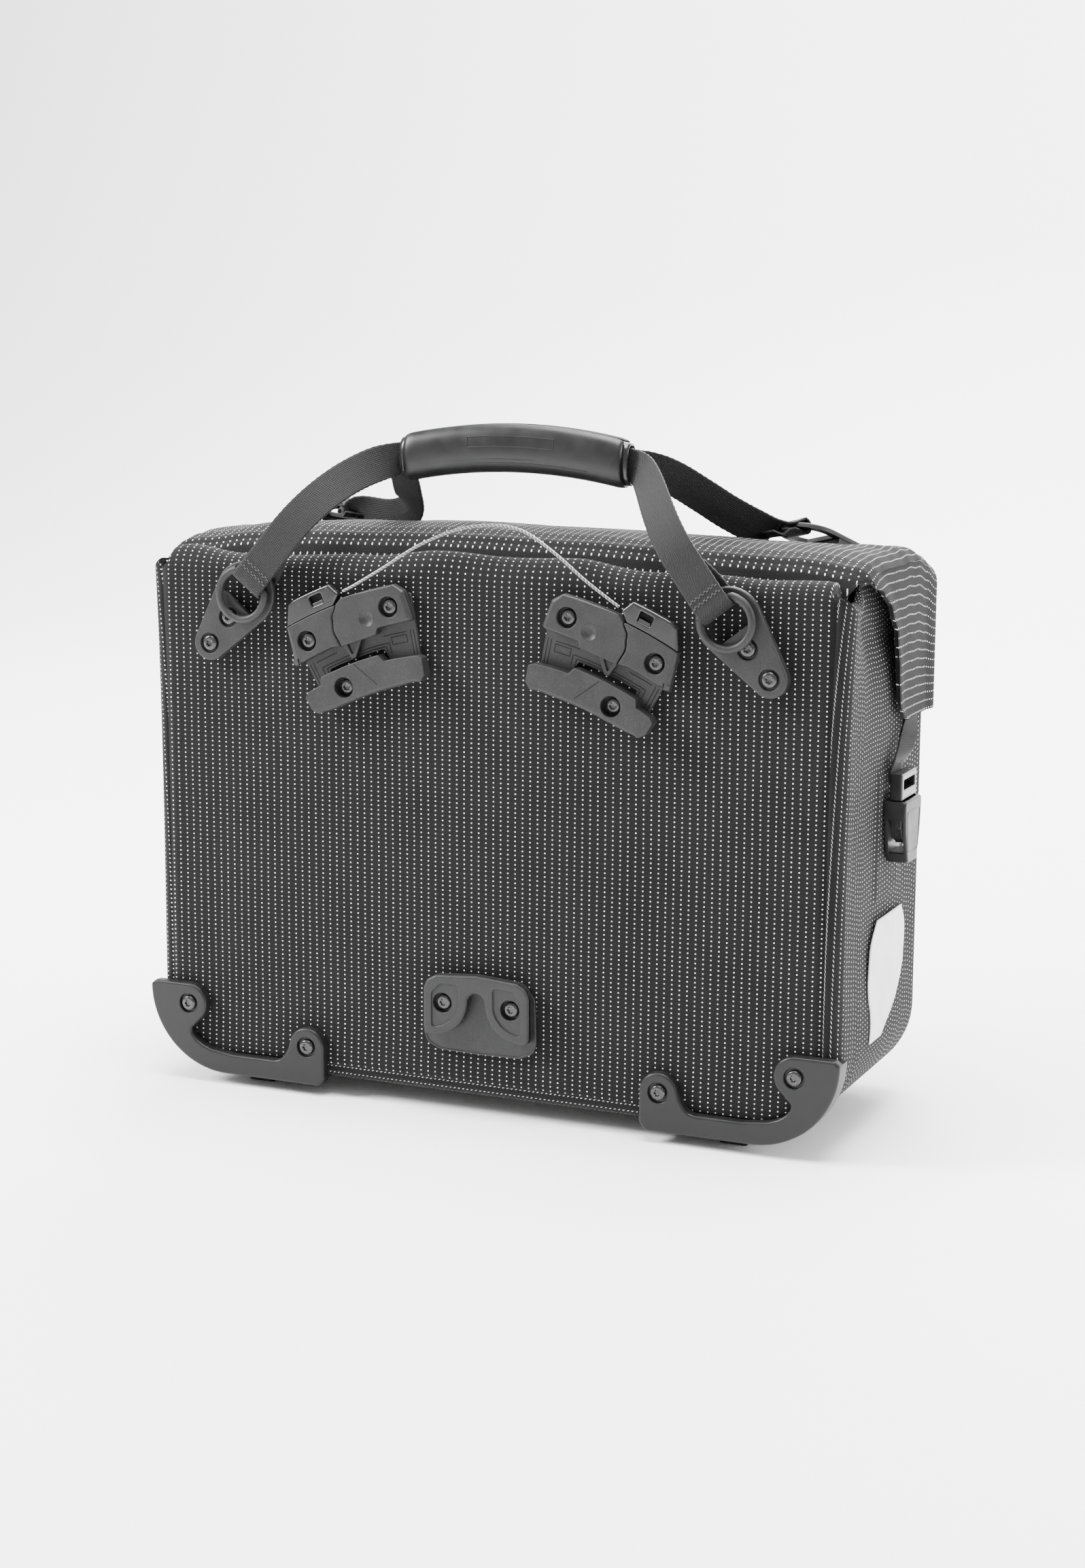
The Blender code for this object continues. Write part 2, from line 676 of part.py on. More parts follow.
def build_reflector(side):
    """Thin reflective patch on the side, following the gusset."""
    rows = []
    for row in REFLECTOR_ROWS:
        z = REFLECTOR_BOTTOM + REFLECTOR_HEIGHT * row.height
        x = body_half_width(z)
        if z < BODY_BOTTOM + CORNER_RADIUS:
            drop = BODY_BOTTOM + CORNER_RADIUS - z
            x = BODY_HALF_WIDTH - CORNER_RADIUS + math.sqrt(CORNER_RADIUS ** 2 - drop ** 2)
        ends = spread(REFLECTOR_BACK + REFLECTOR_LENGTH * row.back,
                      REFLECTOR_BACK + REFLECTOR_LENGTH * row.front, 4)
        rows.append([(side * (x + GAP + REFLECTOR_THICKNESS / 2), y, z) for y in ends])
    return sheet_solid("reflector_" + side_name(side), [rows], REFLECTOR_THICKNESS, "reflective_film", 0.0)


def screw(name, centre, out, frame=BACK_FRAME):
    """A round-headed screw, turned, with its drive recess."""
    profile = [
        (0.0, HEAD_HEIGHT - SOCKET_DEPTH), (SOCKET_RADIUS, HEAD_HEIGHT - SOCKET_DEPTH),
        (SOCKET_RADIUS, HEAD_HEIGHT), (HEAD_RADIUS, HEAD_HEIGHT * 0.4), (HEAD_RADIUS, 0.0), (0.0, 0.0),
    ]
    bm = bmesh.new()
    line = [bm.verts.new((x, 0, z)) for x, z in profile]
    for low, high in zip(line, line[1:]):
        bm.edges.new((low, high))
    mesh = bpy.data.meshes.new(name)
    bm.to_mesh(mesh)
    bm.free()
    node = link_part(name, mesh, "dark_screw")
    turn = node.modifiers.new("turn", "SCREW")
    turn.axis = "Z"
    turn.steps = SCREW_SIDES
    turn.render_steps = SCREW_SIDES
    turn.use_merge_vertices = True
    turn.merge_threshold = 0.00001
    node.matrix_world = frame @ Matrix.Translation((centre[0], centre[1], out))
    return node


def recess(node, centre, floor, top, frame=BACK_FRAME):
    """Round pocket for a screw head."""
    cut(node, disc_mesh(node.name + "_recess", centre, RECESS_RADIUS, floor, top, frame))


def guard_outline(side):
    """Outline of a corner guard, drawn round its screws and the bag's corner."""
    centre = (BODY_HALF_WIDTH - CORNER_RADIUS, BODY_BOTTOM + CORNER_RADIUS)
    radius = CORNER_RADIUS + GAP + GUARD_WALL
    floor = centre[1] - radius
    bar = floor + GUARD_BAR_HEIGHT
    inner, outer = GUARD_INNER_SCREW, GUARD_OUTER_SCREW
    left = inner[0] - GUARD_INNER_BOSS
    top = outer[1] + GUARD_OUTER_BOSS
    points = [(left + 0.0037, floor), (left, floor + 0.0045)]
    points += arc(inner, GUARD_INNER_BOSS, 180, 15, 6)
    points += [(inner[0] + 0.0153, bar + 0.0032), (inner[0] + 0.0206, bar)]
    points += [(centre[0] - 0.005, bar), (outer[0] - 0.0145, bar + 0.0018), (outer[0] - 0.0033, bar + 0.0079)]
    points += [(outer[0] - 0.0014, bar + 0.0132)]
    points += arc(outer, GUARD_OUTER_BOSS, 219, 90, 5)
    points += [(centre[0] + radius - 0.0030, top)]
    points += arc(centre, radius, 0, -90, CORNER_STEPS)
    return mirrored(points, side)


def build_guard(side):
    """Corner guard with its flange under the bag, its foot and two screw pockets."""
    name = "corner_guard_" + side_name(side)
    centre = (BODY_HALF_WIDTH - CORNER_RADIUS, BODY_BOTTOM + CORNER_RADIUS)
    inner_radius = CORNER_RADIUS + GAP
    outer_radius = inner_radius + GUARD_WALL
    node = link_part(name, outline_mesh(name, guard_outline(side), GAP, GUARD_PROUD), "matte_moulding")
    soften(node, 0.0010)
    floor = centre[1] - outer_radius
    start = GUARD_INNER_SCREW[0] - GUARD_INNER_BOSS + 0.0045
    band = arc(centre, outer_radius - GAP, 0, -90, CORNER_STEPS) + [(start, floor + GAP)]
    band += [(start, floor + GUARD_WALL)] + arc(centre, inner_radius, -90, 0, CORNER_STEPS)
    join(node, outline_mesh(name + "_side", mirrored(band, side), -GUARD_SIDE_FLANGE, GUARD_PROUD * 0.4))
    ends = sorted((side * (start + 0.001), side * (centre[0] - 0.001)))
    join(node, box_mesh(name + "_floor", (ends[0], GUARD_SIDE_FLANGE - 0.002, floor + 2 * GAP),
                        (ends[1], GUARD_FLOOR_FLANGE, floor + GUARD_WALL - GAP)))
    half, top_half = FOOT_LENGTH / 2, FOOT_TOP_LENGTH / 2
    foot = [(FOOT_CENTRE - half, 0), (FOOT_CENTRE + half, 0),
            (FOOT_CENTRE + top_half, floor + 0.001), (FOOT_CENTRE - top_half, floor + 0.001)]
    join(node, outline_mesh(name + "_foot", mirrored(foot, side), -FOOT_FRONT - FOOT_WIDTH, -FOOT_FRONT))
    for label, place in (("outer", GUARD_OUTER_SCREW), ("inner", GUARD_INNER_SCREW)):
        spot = (side * place[0], place[1])
        recess(node, spot, RECESS_FLOOR, GUARD_PROUD + 0.002)
        screw(f"guard_screw_{label}_{side_name(side)}", spot, RECESS_FLOOR + GAP)
    return node


def build_front_foot(side):
    """Plain foot under the front edge, so the bag stands level."""
    name = "front_foot_" + side_name(side)
    half, top_half = FOOT_LENGTH / 2, FOOT_TOP_LENGTH / 2
    foot = [(FOOT_CENTRE - half, 0), (FOOT_CENTRE + half, 0),
            (FOOT_CENTRE + top_half, BODY_BOTTOM - GAP), (FOOT_CENTRE - top_half, BODY_BOTTOM - GAP)]
    back = FRONT_FOOT_BACK
    mesh = outline_mesh(name, mirrored(foot, side), -back - FOOT_WIDTH, -back)
    return link_part(name, mesh, "matte_moulding")


def polar(radius, angle, side=1):
    """A point on the hooks' arcs: radius about the lower hook, degrees from straight up."""
    turn = math.radians(angle)
    return (side * radius * math.sin(turn), PIVOT_Z + radius * math.cos(turn))


def sweep(radius, start, end, steps, side):
    """Points along one of the hooks' arcs."""
    return [polar(radius, angle, side) for angle in spread(start, end, steps + 1)]


def seam(shift, side):
    """Points up the seam between the two blocks, moved sideways by a small angle."""
    points = []
    for row in BLOCK_SEAM:
        points.append(polar(CHANNEL_TOP + (ARM_TOP - CHANNEL_TOP) * row.up, row.angle + shift, side))
    return points


def latch_frame(side):
    """Frame of a latch: along is away from the lower hook, across runs outwards."""
    turn = Matrix.Rotation(-side * math.radians(LATCH_ANGLE), 4, "Z")
    return BACK_FRAME @ Matrix.Translation((0, PIVOT_Z, 0)) @ turn


def build_hook(side):
    """One rack hook: base plate, two blocks, release slider, sprung latch and rail."""
    end = side_name(side)
    seat = GAP + PLATE_THICKNESS
    block_low = seat + GAP
    base = sweep(BASE_TOP, BASE_INNER_ANGLE, BASE_OUTER_ANGLE, 5, side)
    base += sweep(BASE_BOTTOM, BASE_OUTER_ANGLE, BASE_INNER_ANGLE, 4, side)
    node = link_part("hook_base_" + end, outline_mesh("hook_base_" + end, base, GAP, seat), "matte_moulding")
    window = sweep(CHANNEL_TOP - 0.0068, 16.5, 26.8, 4, side) + sweep(RAIL_TOP - 0.0040, 27.2, 16.0, 4, side)
    cut(node, outline_mesh("hook_window_" + end, window, -0.001, seat + 0.001))

    split = math.degrees(GAP / CHANNEL_TOP) / 2
    step_top = CHANNEL_TOP + BLOCK_STEP
    cover = [polar(CHANNEL_TOP, 16.5, side), polar(step_top, 16.1, side)]
    cover += [polar(step_top, HOOK_INNER_ANGLE + 0.7, side), polar(step_top + 0.0014, HOOK_INNER_ANGLE, side)]
    cover += [polar(BLOCK_TOP - 0.0047, HOOK_INNER_ANGLE + 0.7, side)]
    cover += sweep(BLOCK_TOP, HOOK_INNER_ANGLE + 2.1, BLOCK_SEAM[-1].angle - 1.1, 3, side)
    cover += seam(-split, side)[::-1]
    cover_name = "hook_cover_" + end
    node = link_part(cover_name, outline_mesh(cover_name, cover, block_low, BLOCK_PROUD), "matte_moulding")
    soften(node, 0.0008)
    frame = latch_frame(side)
    half = LATCH_WIDTH / 2
    stem_top = CHANNEL_TOP + LATCH_WIDTH * 0.75
    slack = 2 * GAP
    pocket_top = stem_top + LATCH_TRAVEL + slack
    pocket = [(-half - slack, CHANNEL_TOP - 0.004), (half + slack, CHANNEL_TOP - 0.004),
              (half + slack, pocket_top), (-half - slack, pocket_top)]
    latch_high = block_low + LATCH_THICKNESS
    cut(node, outline_mesh("hook_pocket_" + end, pocket, block_low - 0.001, latch_high + slack, frame))
    dimple = bmesh.new()
    bmesh.ops.create_uvsphere(dimple, u_segments=10, v_segments=8, radius=0.0090)
    spot = polar(0.2241, 17.3, side)
    bmesh.ops.translate(dimple, verts=dimple.verts, vec=(spot[0], spot[1], BLOCK_PROUD + 0.0078))
    cut(node, mesh_from(dimple, "hook_dimple_" + end, BACK_FRAME))

    arm = seam(split, side)
    arm += sweep(ARM_TOP, BLOCK_SEAM[-1].angle + 1.5, HOOK_OUTER_ANGLE - 1.7, 3, side)
    arm += sweep(CHANNEL_TOP + 0.0014, HOOK_OUTER_ANGLE, BLOCK_SEAM[0].angle + 1.5, 3, side)
    arm_name = "hook_arm_" + end
    arm_node = link_part(arm_name, outline_mesh(arm_name, arm, block_low, BLOCK_PROUD), "matte_moulding")
    soften(arm_node, 0.0008)

    slider_low = ARM_TOP + GAP + 0.0001
    slider = sweep(slider_low, BLOCK_SEAM[-1].angle + 0.4, HOOK_OUTER_ANGLE - 1.75, 4, side)
    slider += [polar(SLIDER_TOP - 0.0012, HOOK_OUTER_ANGLE - 3.3, side)]
    slider += sweep(SLIDER_TOP, HOOK_OUTER_ANGLE - 4.2, BLOCK_SEAM[-1].angle + 0.1, 3, side)
    slider += [polar(BLOCK_TOP + 0.0026, BLOCK_SEAM[-1].angle - 0.9, side)]
    slider_name = "release_slider_" + end
    slider_mesh = outline_mesh(slider_name, slider, block_low, SLIDER_PROUD)
    slider_node = link_part(slider_name, slider_mesh, "gloss_moulding")
    soften(slider_node, 0.0008)
    window = sweep(SLIDER_TOP - 0.0084, 22.9, 24.8, 1, side) + sweep(SLIDER_TOP - 0.0026, 24.8, 22.9, 1, side)
    cut(slider_node, outline_mesh("slider_window_" + end, window, SLIDER_PROUD - 0.0030, SLIDER_PROUD + 0.001))

    latch = [(-half, stem_top), (half, stem_top), (half, CHANNEL_TOP - 0.0004),
             (side * half * 0.5 + 0.0007, LATCH_TIP), (side * half * 0.5 - 0.0007, LATCH_TIP),
             (-half, CHANNEL_TOP - 0.0004)]
    latch_name = "latch_" + end
    link_part(latch_name, outline_mesh(latch_name, latch, block_low, latch_high, frame), "matte_moulding")

    rail_name = "hook_rail_" + end
    sections = []
    for row in RAIL_ROWS:
        low, high = RAIL_BOTTOM + row.rise, RAIL_TOP - row.drop
        ring = [(low, block_low), (low, block_low + 0.0020), (low + RAIL_FLANK - row.rise * 0.5, RAIL_PROUD)]
        ring += [(high - 0.0006, RAIL_PROUD), (high, RAIL_PROUD - 0.0006), (high, block_low)]
        sections.append([(*polar(radius, row.angle, side), out) for radius, out in ring])
    rail_node = link_part(rail_name, loft_mesh(rail_name, sections, BACK_FRAME), "matte_moulding")

    for label, owner, (radius, angle) in zip(("inner", "outer", "rail"), (node, arm_node, rail_node), HOOK_SCREWS):
        place = polar(radius, angle, side)
        recess(owner, place, RECESS_FLOOR, RAIL_PROUD + 0.002)
        screw(f"hook_screw_{label}_{end}", place, RECESS_FLOOR + GAP)


def build_lower_hook():
    """Lower rack hook: a base plate and a cap with a slot that opens downwards."""
    seat = GAP + PLATE_THICKNESS
    half, low, high = LOWER_PLATE_HALF, LOWER_PLATE_BOTTOM, LOWER_PLATE_TOP
    right = [(0.0, low), (half - 0.0100, low + 0.0005), (half - 0.0020, low + 0.0042), (half, low + 0.0100)]
    right += [(half - 0.0010, high - 0.0080), (half - 0.0080, high)]
    points = right + [(-x, z) for x, z in right[:0:-1]]
    mesh = outline_mesh("lower_hook_plate", points, GAP, seat)
    soften(link_part("lower_hook_plate", mesh, "matte_moulding"), 0.0006)

    cap_low = seat + GAP
    half, low, high = LOWER_CAP_HALF, LOWER_CAP_BOTTOM, LOWER_CAP_TOP
    slot = LOWER_SLOT_HALF
    arch = (0.0, LOWER_SLOT_TOP - slot)
    flare = [(slot + 0.0002, arch[1] - 0.0020), (slot + 0.0020, arch[1] - 0.0082), (slot + 0.0072, low + 0.0063),
             (slot + 0.0157, low + 0.0015), (half - 0.0040, low), (half, low + 0.0040)]
    shoulder = [(half, high - 0.0100), (half - 0.0020, high - 0.0050), (half - 0.0075, high - 0.0018)]
    right = flare + shoulder
    points = arc(arch, slot, 90, 0, 3) + right + [(0.0, high)]
    points += [(-x, z) for x, z in right[::-1]] + arc(arch, slot, 180, 90, 3)[:-1]
    cap = link_part("lower_hook_cap", outline_mesh("lower_hook_cap", points, cap_low, LOWER_CAP_PROUD),
                    "matte_moulding")
    soften(cap, 0.0010, 60.0)
    for side in (-1, 1):
        end = side_name(side)
        pad = [(slot + 0.0050, high - 0.0045), (slot + 0.0052, arch[1] - 0.0030), (slot + 0.0085, low + 0.0125),
               (slot + 0.0148, low + 0.0072), (half - 0.0038, low + 0.0045), (half - 0.0038, high - 0.0110),
               (half - 0.0090, high - 0.0055)]
        floor = LOWER_CAP_PROUD - PAD_DEPTH
        cut(cap, outline_mesh("lower_pad_" + end, mirrored(pad, side), floor, LOWER_CAP_PROUD + 0.001))
        spot = (side * LOWER_SCREW[0], LOWER_SCREW[1])
        recess(cap, spot, RECESS_FLOOR, LOWER_CAP_PROUD + 0.002)
        screw("lower_hook_screw_" + end, spot, RECESS_FLOOR + GAP)


def back_plate_frame(side):
    """Frame of a ring plate on the back panel, along points towards the grip."""
    place = Matrix.Translation((side * RING_PLATE_CENTRE[0], RING_PLATE_CENTRE[1], 0))
    return BACK_FRAME @ place @ Matrix.Rotation(side * math.radians(RING_PLATE_TILT), 4, "Z")


def on_lid(x, y):
    """The point of the lid's outer face above a place."""
    return Vector((x, y, lid_height(x, y)))


def front_plate_frame(side):
    """Frame of a ring plate lying on the lid, along points towards the grip."""
    turn = math.radians(FRONT_PLATE_TURN)
    heading = Vector((side * math.sin(turn), math.cos(turn)))
    beside = Vector((heading.y, -heading.x))
    centre = Vector((side * FRONT_PLATE_X, FRONT_PLATE_Y))
    tip = centre + heading * TIP_DISTANCE
    middle = centre + heading * TIP_DISTANCE / 2
    along = (on_lid(*centre) - on_lid(*tip)).normalized()
    slope = (on_lid(*(middle + beside * TIP_RADIUS)) - on_lid(*(middle - beside * TIP_RADIUS))).normalized()
    out = slope.cross(along).normalized()
    if out.z < 0:
        out = -out
    across = along.cross(out)
    frame = Matrix((across, along, out)).transposed().to_4x4()
    origin = on_lid(*centre)
    lift = 0.0
    for place in spread(-LOBE_RADIUS, TIP_DISTANCE + TIP_RADIUS, 9):
        for reach in (-LOBE_RADIUS, 0.0, LOBE_RADIUS):
            lift = max(lift, (on_lid(*(centre + heading * place + beside * reach)) - origin).dot(out))
    frame.translation = origin + out * (lift + GAP)
    return frame


def build_ring_plate(name, frame):
    """Tear-shaped plate with a D-shaped hole, held by two screws."""
    lean = math.degrees(math.asin((LOBE_RADIUS - TIP_RADIUS) / TIP_DISTANCE))
    outline = arc((0, 0), LOBE_RADIUS, -lean, 180 + lean, 11)
    outline += arc((0, -TIP_DISTANCE), TIP_RADIUS, 180 + lean, 360 - lean, 5)
    node = link_part(name, outline_mesh(name, outline, GAP, RING_PLATE_PROUD, frame), "matte_moulding")
    soften(node, 0.0007)
    dip = math.degrees(math.asin(RING_CHORD / RING_HOLE))
    hole = arc((0, 0), RING_HOLE, -dip, 180 + dip, 9)
    cut(node, outline_mesh(name + "_hole", hole, -0.001, RING_PLATE_PROUD + 0.001, frame))
    under = RING_PLATE_PROUD - RIM_THICKNESS
    ledge = RING_CHORD + 0.0020
    cut(node, box_mesh(name + "_under", (-0.03, -ledge, -0.001), (0.03, 0.03, under), frame))
    for label, place in (("tip", TIP_DISTANCE), ("second", SECOND_SCREW)):
        cut(node, disc_mesh(f"{name}_{label}", (0, -place), RECESS_RADIUS, RECESS_FLOOR,
                            RING_PLATE_PROUD + 0.002, frame))
        screw(f"{name}_screw_{label}", (0, -place), RECESS_FLOOR + GAP, frame)
    return node


def wire(name, points, radius, finish, closed, frame=None):
    """A round wire through points, as a mesh with welded caps."""
    curve = bpy.data.curves.new(name, "CURVE")
    curve.dimensions = "3D"
    curve.bevel_depth = radius
    curve.bevel_resolution = 2
    curve.use_fill_caps = True
    spline = curve.splines.new("POLY")
    spline.points.add(len(points) - 1)
    for point, place in zip(spline.points, points):
        point.co = (*place, 1.0)
    spline.use_cyclic_u = closed
    node = bpy.data.objects.new(name, curve)
    curve.materials.append(finish_material(finish))
    if frame is not None:
        node.matrix_world = frame
    PARTS.objects.link(node)
    return node


def build_d_ring(side):
    """D ring that the strap's loop holds in front of its plate."""
    rise = math.degrees(math.asin(D_RING_BAR / D_RING_RADIUS))
    points = arc((0, 0), D_RING_RADIUS, rise, -180 - rise, 11)
    points = [(x, y, D_RING_OUT) for x, y in points]
    return wire("d_ring_" + side_name(side), points, D_RING_STOCK, "matte_moulding", True, back_plate_frame(side))


def grip_centre(x):
    """Height of the grip's centre line: it hangs a little lower at its ends."""
    return GRIP_Z - GRIP_SAG * (x / GRIP_HALF_LENGTH) ** 2


def grip_ring(half_height, half_depth, angles):
    """Points round a section of the grip, degrees from straight up."""
    points = []
    for angle in angles:
        turn = math.radians(angle)
        across, up = math.sin(turn), math.cos(turn)
        y = half_depth * math.copysign(abs(across) ** 0.85, across)
        z = half_height * math.copysign(abs(up) ** 0.85, up)
        points.append((y, z))
    return points


def grip_grid(half_height, half_depth, angles, half_length, steps):
    """Sheet of points along the grip."""
    rows = []
    for x in spread(-half_length, half_length, steps + 1):
        ring = grip_ring(half_height, half_depth, angles)
        rows.append([(x, GRIP_Y + y, grip_centre(x) + z) for y, z in ring])
    return rows


def build_grip():
    """Matte cover open along its top, round a gloss inner tube."""
    sides = round(360 / COVER_SLIT)
    angles = spread(COVER_SLIT, 360 - COVER_SLIT, sides - 1)
    cover = grip_grid(GRIP_HALF_HEIGHT, GRIP_HALF_DEPTH, angles, GRIP_HALF_LENGTH, 5)
    sheet_solid("handle_grip", [cover], COVER_WALL, "matte_moulding")
    shift = COVER_WALL + 2 * GAP
    angles = spread(0, 360, sides + 1)
    tube = grip_grid(GRIP_HALF_HEIGHT - shift, GRIP_HALF_DEPTH - shift, angles, GRIP_HALF_LENGTH + LINER_EXTRA, 5)
    sheet_solid("handle_liner", [tube], LINER_WALL, "gloss_moulding")


def bezier(start, start_pull, end_pull, end, steps):
    """Points on a cubic curve between two ends."""
    points = []
    for i in range(steps + 1):
        t = i / steps
        points.append(start * (1 - t) ** 3 + start_pull * 3 * t * (1 - t) ** 2
                      + end_pull * 3 * t * t * (1 - t) + end * t ** 3)
    return points


def strap_loop(frame, ring):
    """Centre line of the strap's sewn loop through its plate, from the lap to the outer ply."""
    under = 2 * GAP + WEBBING * 0.5
    if ring:
        bar, bar_out, round_bar = D_RING_BAR, D_RING_OUT, D_RING_STOCK
    else:
        bar, bar_out, round_bar = RING_HOLE - 0.0020, RING_PLATE_PROUD - RIM_THICKNESS / 2, 0.0032
    around = round_bar + GAP + WEBBING * 0.5 + 0.0004
    lap = LOBE_RADIUS + 0.0150
    rise = 0.0105 if ring else 0.0050
    edge = bar - around
    path = [
        (lap, rise - WEBBING - GAP * 2), (LOBE_RADIUS + 0.0070, under + 0.0026), (LOBE_RADIUS, under),
        (edge + 0.0024, under), (edge + 0.0004, under + 0.0012),
    ]
    path += [(along, out) for along, out in arc((bar, bar_out), around, 180, 90, 3)]
    path += [(LOBE_RADIUS + 0.0050, max(rise + 0.0004, bar_out + around - 0.0012)), (lap, rise)]
    return [frame @ Vector((0, along, out)) for along, out in path]


def build_strap(name, legs, frames, shift, ring):
    """One band of webbing from a plate through the grip to the other plate."""
    halves = []
    for leg, frame in zip(legs, frames):
        loop = strap_loop(frame, ring)
        start = loop[-1]
        direction = (frame.to_3x3() @ Vector((0, 1, 0))).normalized()
        edge = leg.side * (GRIP_HALF_LENGTH + LINER_EXTRA + 0.002)
        finish = Vector((edge, GRIP_Y + shift, grip_centre(edge)))
        span = (finish - start).length
        slope = Vector((leg.side, leg.lean, -leg.fall)).normalized()
        points = bezier(start, start + direction * span * leg.plate_pull,
                        finish + slope * span * leg.grip_pull, finish, 7)
        halves.append(loop + points[1:])
    middle = [Vector((x, GRIP_Y + shift, grip_centre(x))) for x in spread(-GRIP_HALF_LENGTH, GRIP_HALF_LENGTH, 7)]
    path = halves[0] + middle + halves[1][::-1]
    facing = []
    loop_count = len(strap_loop(frames[0], ring))
    for i, point in enumerate(path):
        steps = min(i, len(path) - 1 - i)
        frame = frames[0] if i < len(path) / 2 else frames[1]
        across = (frame.to_3x3() @ Vector((1, 0, 0))).normalized()
        share = ease((steps - loop_count + 1) / 5)
        outwards = across * math.copysign(1.0, across.x * point.x)
        across = (outwards * (1 - share) + Vector((0, 0, 1)) * share).normalized()
        before, after = path[max(i - 1, 0)], path[min(i + 1, len(path) - 1)]
        tangent = (after - before).normalized()
        across = (across - tangent * across.dot(tangent)).normalized()
        if abs(point.x) < GRIP_HALF_LENGTH + LINER_EXTRA + 0.003:
            across = Vector((0.0, 0.0, 1.0))
        facing.append(across)
    rows = []
    for point, across in zip(path, facing):
        inside = ease((GRIP_HALF_LENGTH + LINER_EXTRA + 0.012 - abs(point.x)) / 0.010)
        half = (WEBBING_WIDTH - GRIP_TUCK * inside) / 2
        rows.append([point - across * half, point + across * half])
    return sheet_solid(name, [rows], WEBBING, "webbing", 0.0)


def side_frame(side):
    """Frame on the gusset: across runs to the front, along runs up, out leaves the bag."""
    out = side * BODY_HALF_WIDTH
    return Matrix(((0, 0, side, out), (1, 0, 0, 0), (0, 1, 0, 0), (0, 0, 0, 1)))


def build_buckle(side):
    """Fastened side-release buckle on the gusset and its strap from the lid's wing."""
    end = side_name(side)
    frame = side_frame(side)
    low, top = SOCKET_BOTTOM, SOCKET_BOTTOM + SOCKET_HEIGHT
    half, foot = SOCKET_HALF, SOCKET_HALF * 0.55
    right = [(foot, low), (half - 0.0040, low + 0.0080), (half - 0.0012, low + 0.0180), (half, top - 0.0060)]
    right += [(half, top)]
    outline = [(BUCKLE_Y + x, z) for x, z in right] + [(BUCKLE_Y - x, z) for x, z in right[::-1]]
    name = "buckle_socket_" + end
    node = link_part(name, outline_mesh(name, outline, GAP * 2, SOCKET_THICKNESS, frame), "matte_moulding")
    soften(node, 0.0008)
    wall = SOCKET_WALL
    inner = [(foot - wall, low + 0.0030), (half - 0.0040 - wall, low + 0.0100), (half - 0.0012 - wall, low + 0.019)]
    inner += [(half - wall, top - 0.0060), (half - wall, top + 0.001)]
    cavity = [(BUCKLE_Y + x, z) for x, z in inner] + [(BUCKLE_Y - x, z) for x, z in inner[::-1]]
    cavity_low, cavity_high = GAP * 2 + wall, SOCKET_THICKNESS - wall
    cut(node, outline_mesh("socket_cavity_" + end, cavity, cavity_low, cavity_high, frame))
    cut(node, box_mesh("socket_window_" + end, (BUCKLE_Y - half - 0.002, low + 0.0060, cavity_low + 0.0006),
                       (BUCKLE_Y + half + 0.002, top - 0.0100, cavity_high - 0.0006), frame))

    plug_low = (cavity_low + cavity_high - PLUG_THICKNESS) / 2
    plug_high = plug_low + PLUG_THICKNESS
    head = PLUG_HALF
    prong = half - wall - 2 * GAP
    lift = top - 0.0040
    head_top = top + PLUG_HEIGHT
    shape = [(head, head_top), (head, top + GAP), (prong, top + GAP), (prong - 0.0004, low + 0.0200),
             (prong - 0.0040, low + 0.0125), (prong - 0.0058, low + 0.0150), (prong - 0.0048, lift - 0.0030),
             (0.0022, lift - 0.0030), (0.0022, low + 0.0100)]
    outline = [(BUCKLE_Y + x, z) for x, z in shape] + [(BUCKLE_Y - x, z) for x, z in shape[::-1]]
    name = "buckle_plug_" + end
    plug = link_part(name, outline_mesh(name, outline, plug_low, plug_high, frame), "gloss_moulding")
    slot = WEBBING_WIDTH / 2 + 2 * GAP
    bar = PLUG_BAR
    cut(plug, box_mesh("plug_slot_" + end, (BUCKLE_Y - slot, head_top - bar - 0.0055, plug_low - 0.001),
                       (BUCKLE_Y + slot, head_top - bar, plug_high + 0.001), frame), "MANIFOLD")

    out = (plug_low + plug_high) / 2
    clear = PLUG_THICKNESS / 2 + GAP + WEBBING / 2
    tuck = (LID_HALF_WIDTH - CLOTH - BODY_HALF_WIDTH) / 2
    free = WING_BOTTOM - head_top
    behind = out - clear - GAP
    centres = [
        (0.0, head_top - 2 * bar, behind + 4 * GAP, 0), (0.0, head_top - bar, behind, 0),
        (0.0, head_top + free * 0.04, behind, 0), (0.0, head_top + free * 0.24, out * 0.70, 15),
    ]
    for row in STRAP_TWISTS:
        centres.append((WEBBING_WIDTH * row.shift, head_top + free * row.up, out * row.proud, row.turn))
    end_shift = WEBBING_WIDTH * STRAP_END_SHIFT
    centres += [
        (end_shift * 0.9, head_top + free * 0.96, tuck + GAP, 8), (end_shift, WING_BOTTOM + STRAP_END * 0.3, tuck, 0),
        (end_shift, WING_BOTTOM + STRAP_END, tuck, 0),
    ]
    rows = []
    for shift, z, proud, twist in centres:
        turn = math.radians(twist)
        across = Vector((math.cos(turn), 0.0, math.sin(turn) * 0.35)) * WEBBING_WIDTH / 2
        middle = Vector((BUCKLE_Y + shift, z, proud))
        rows.append([frame @ (middle - across), frame @ (middle + across)])
    sheet_solid("buckle_strap_" + end, [rows], WEBBING, "webbing", 0.0)


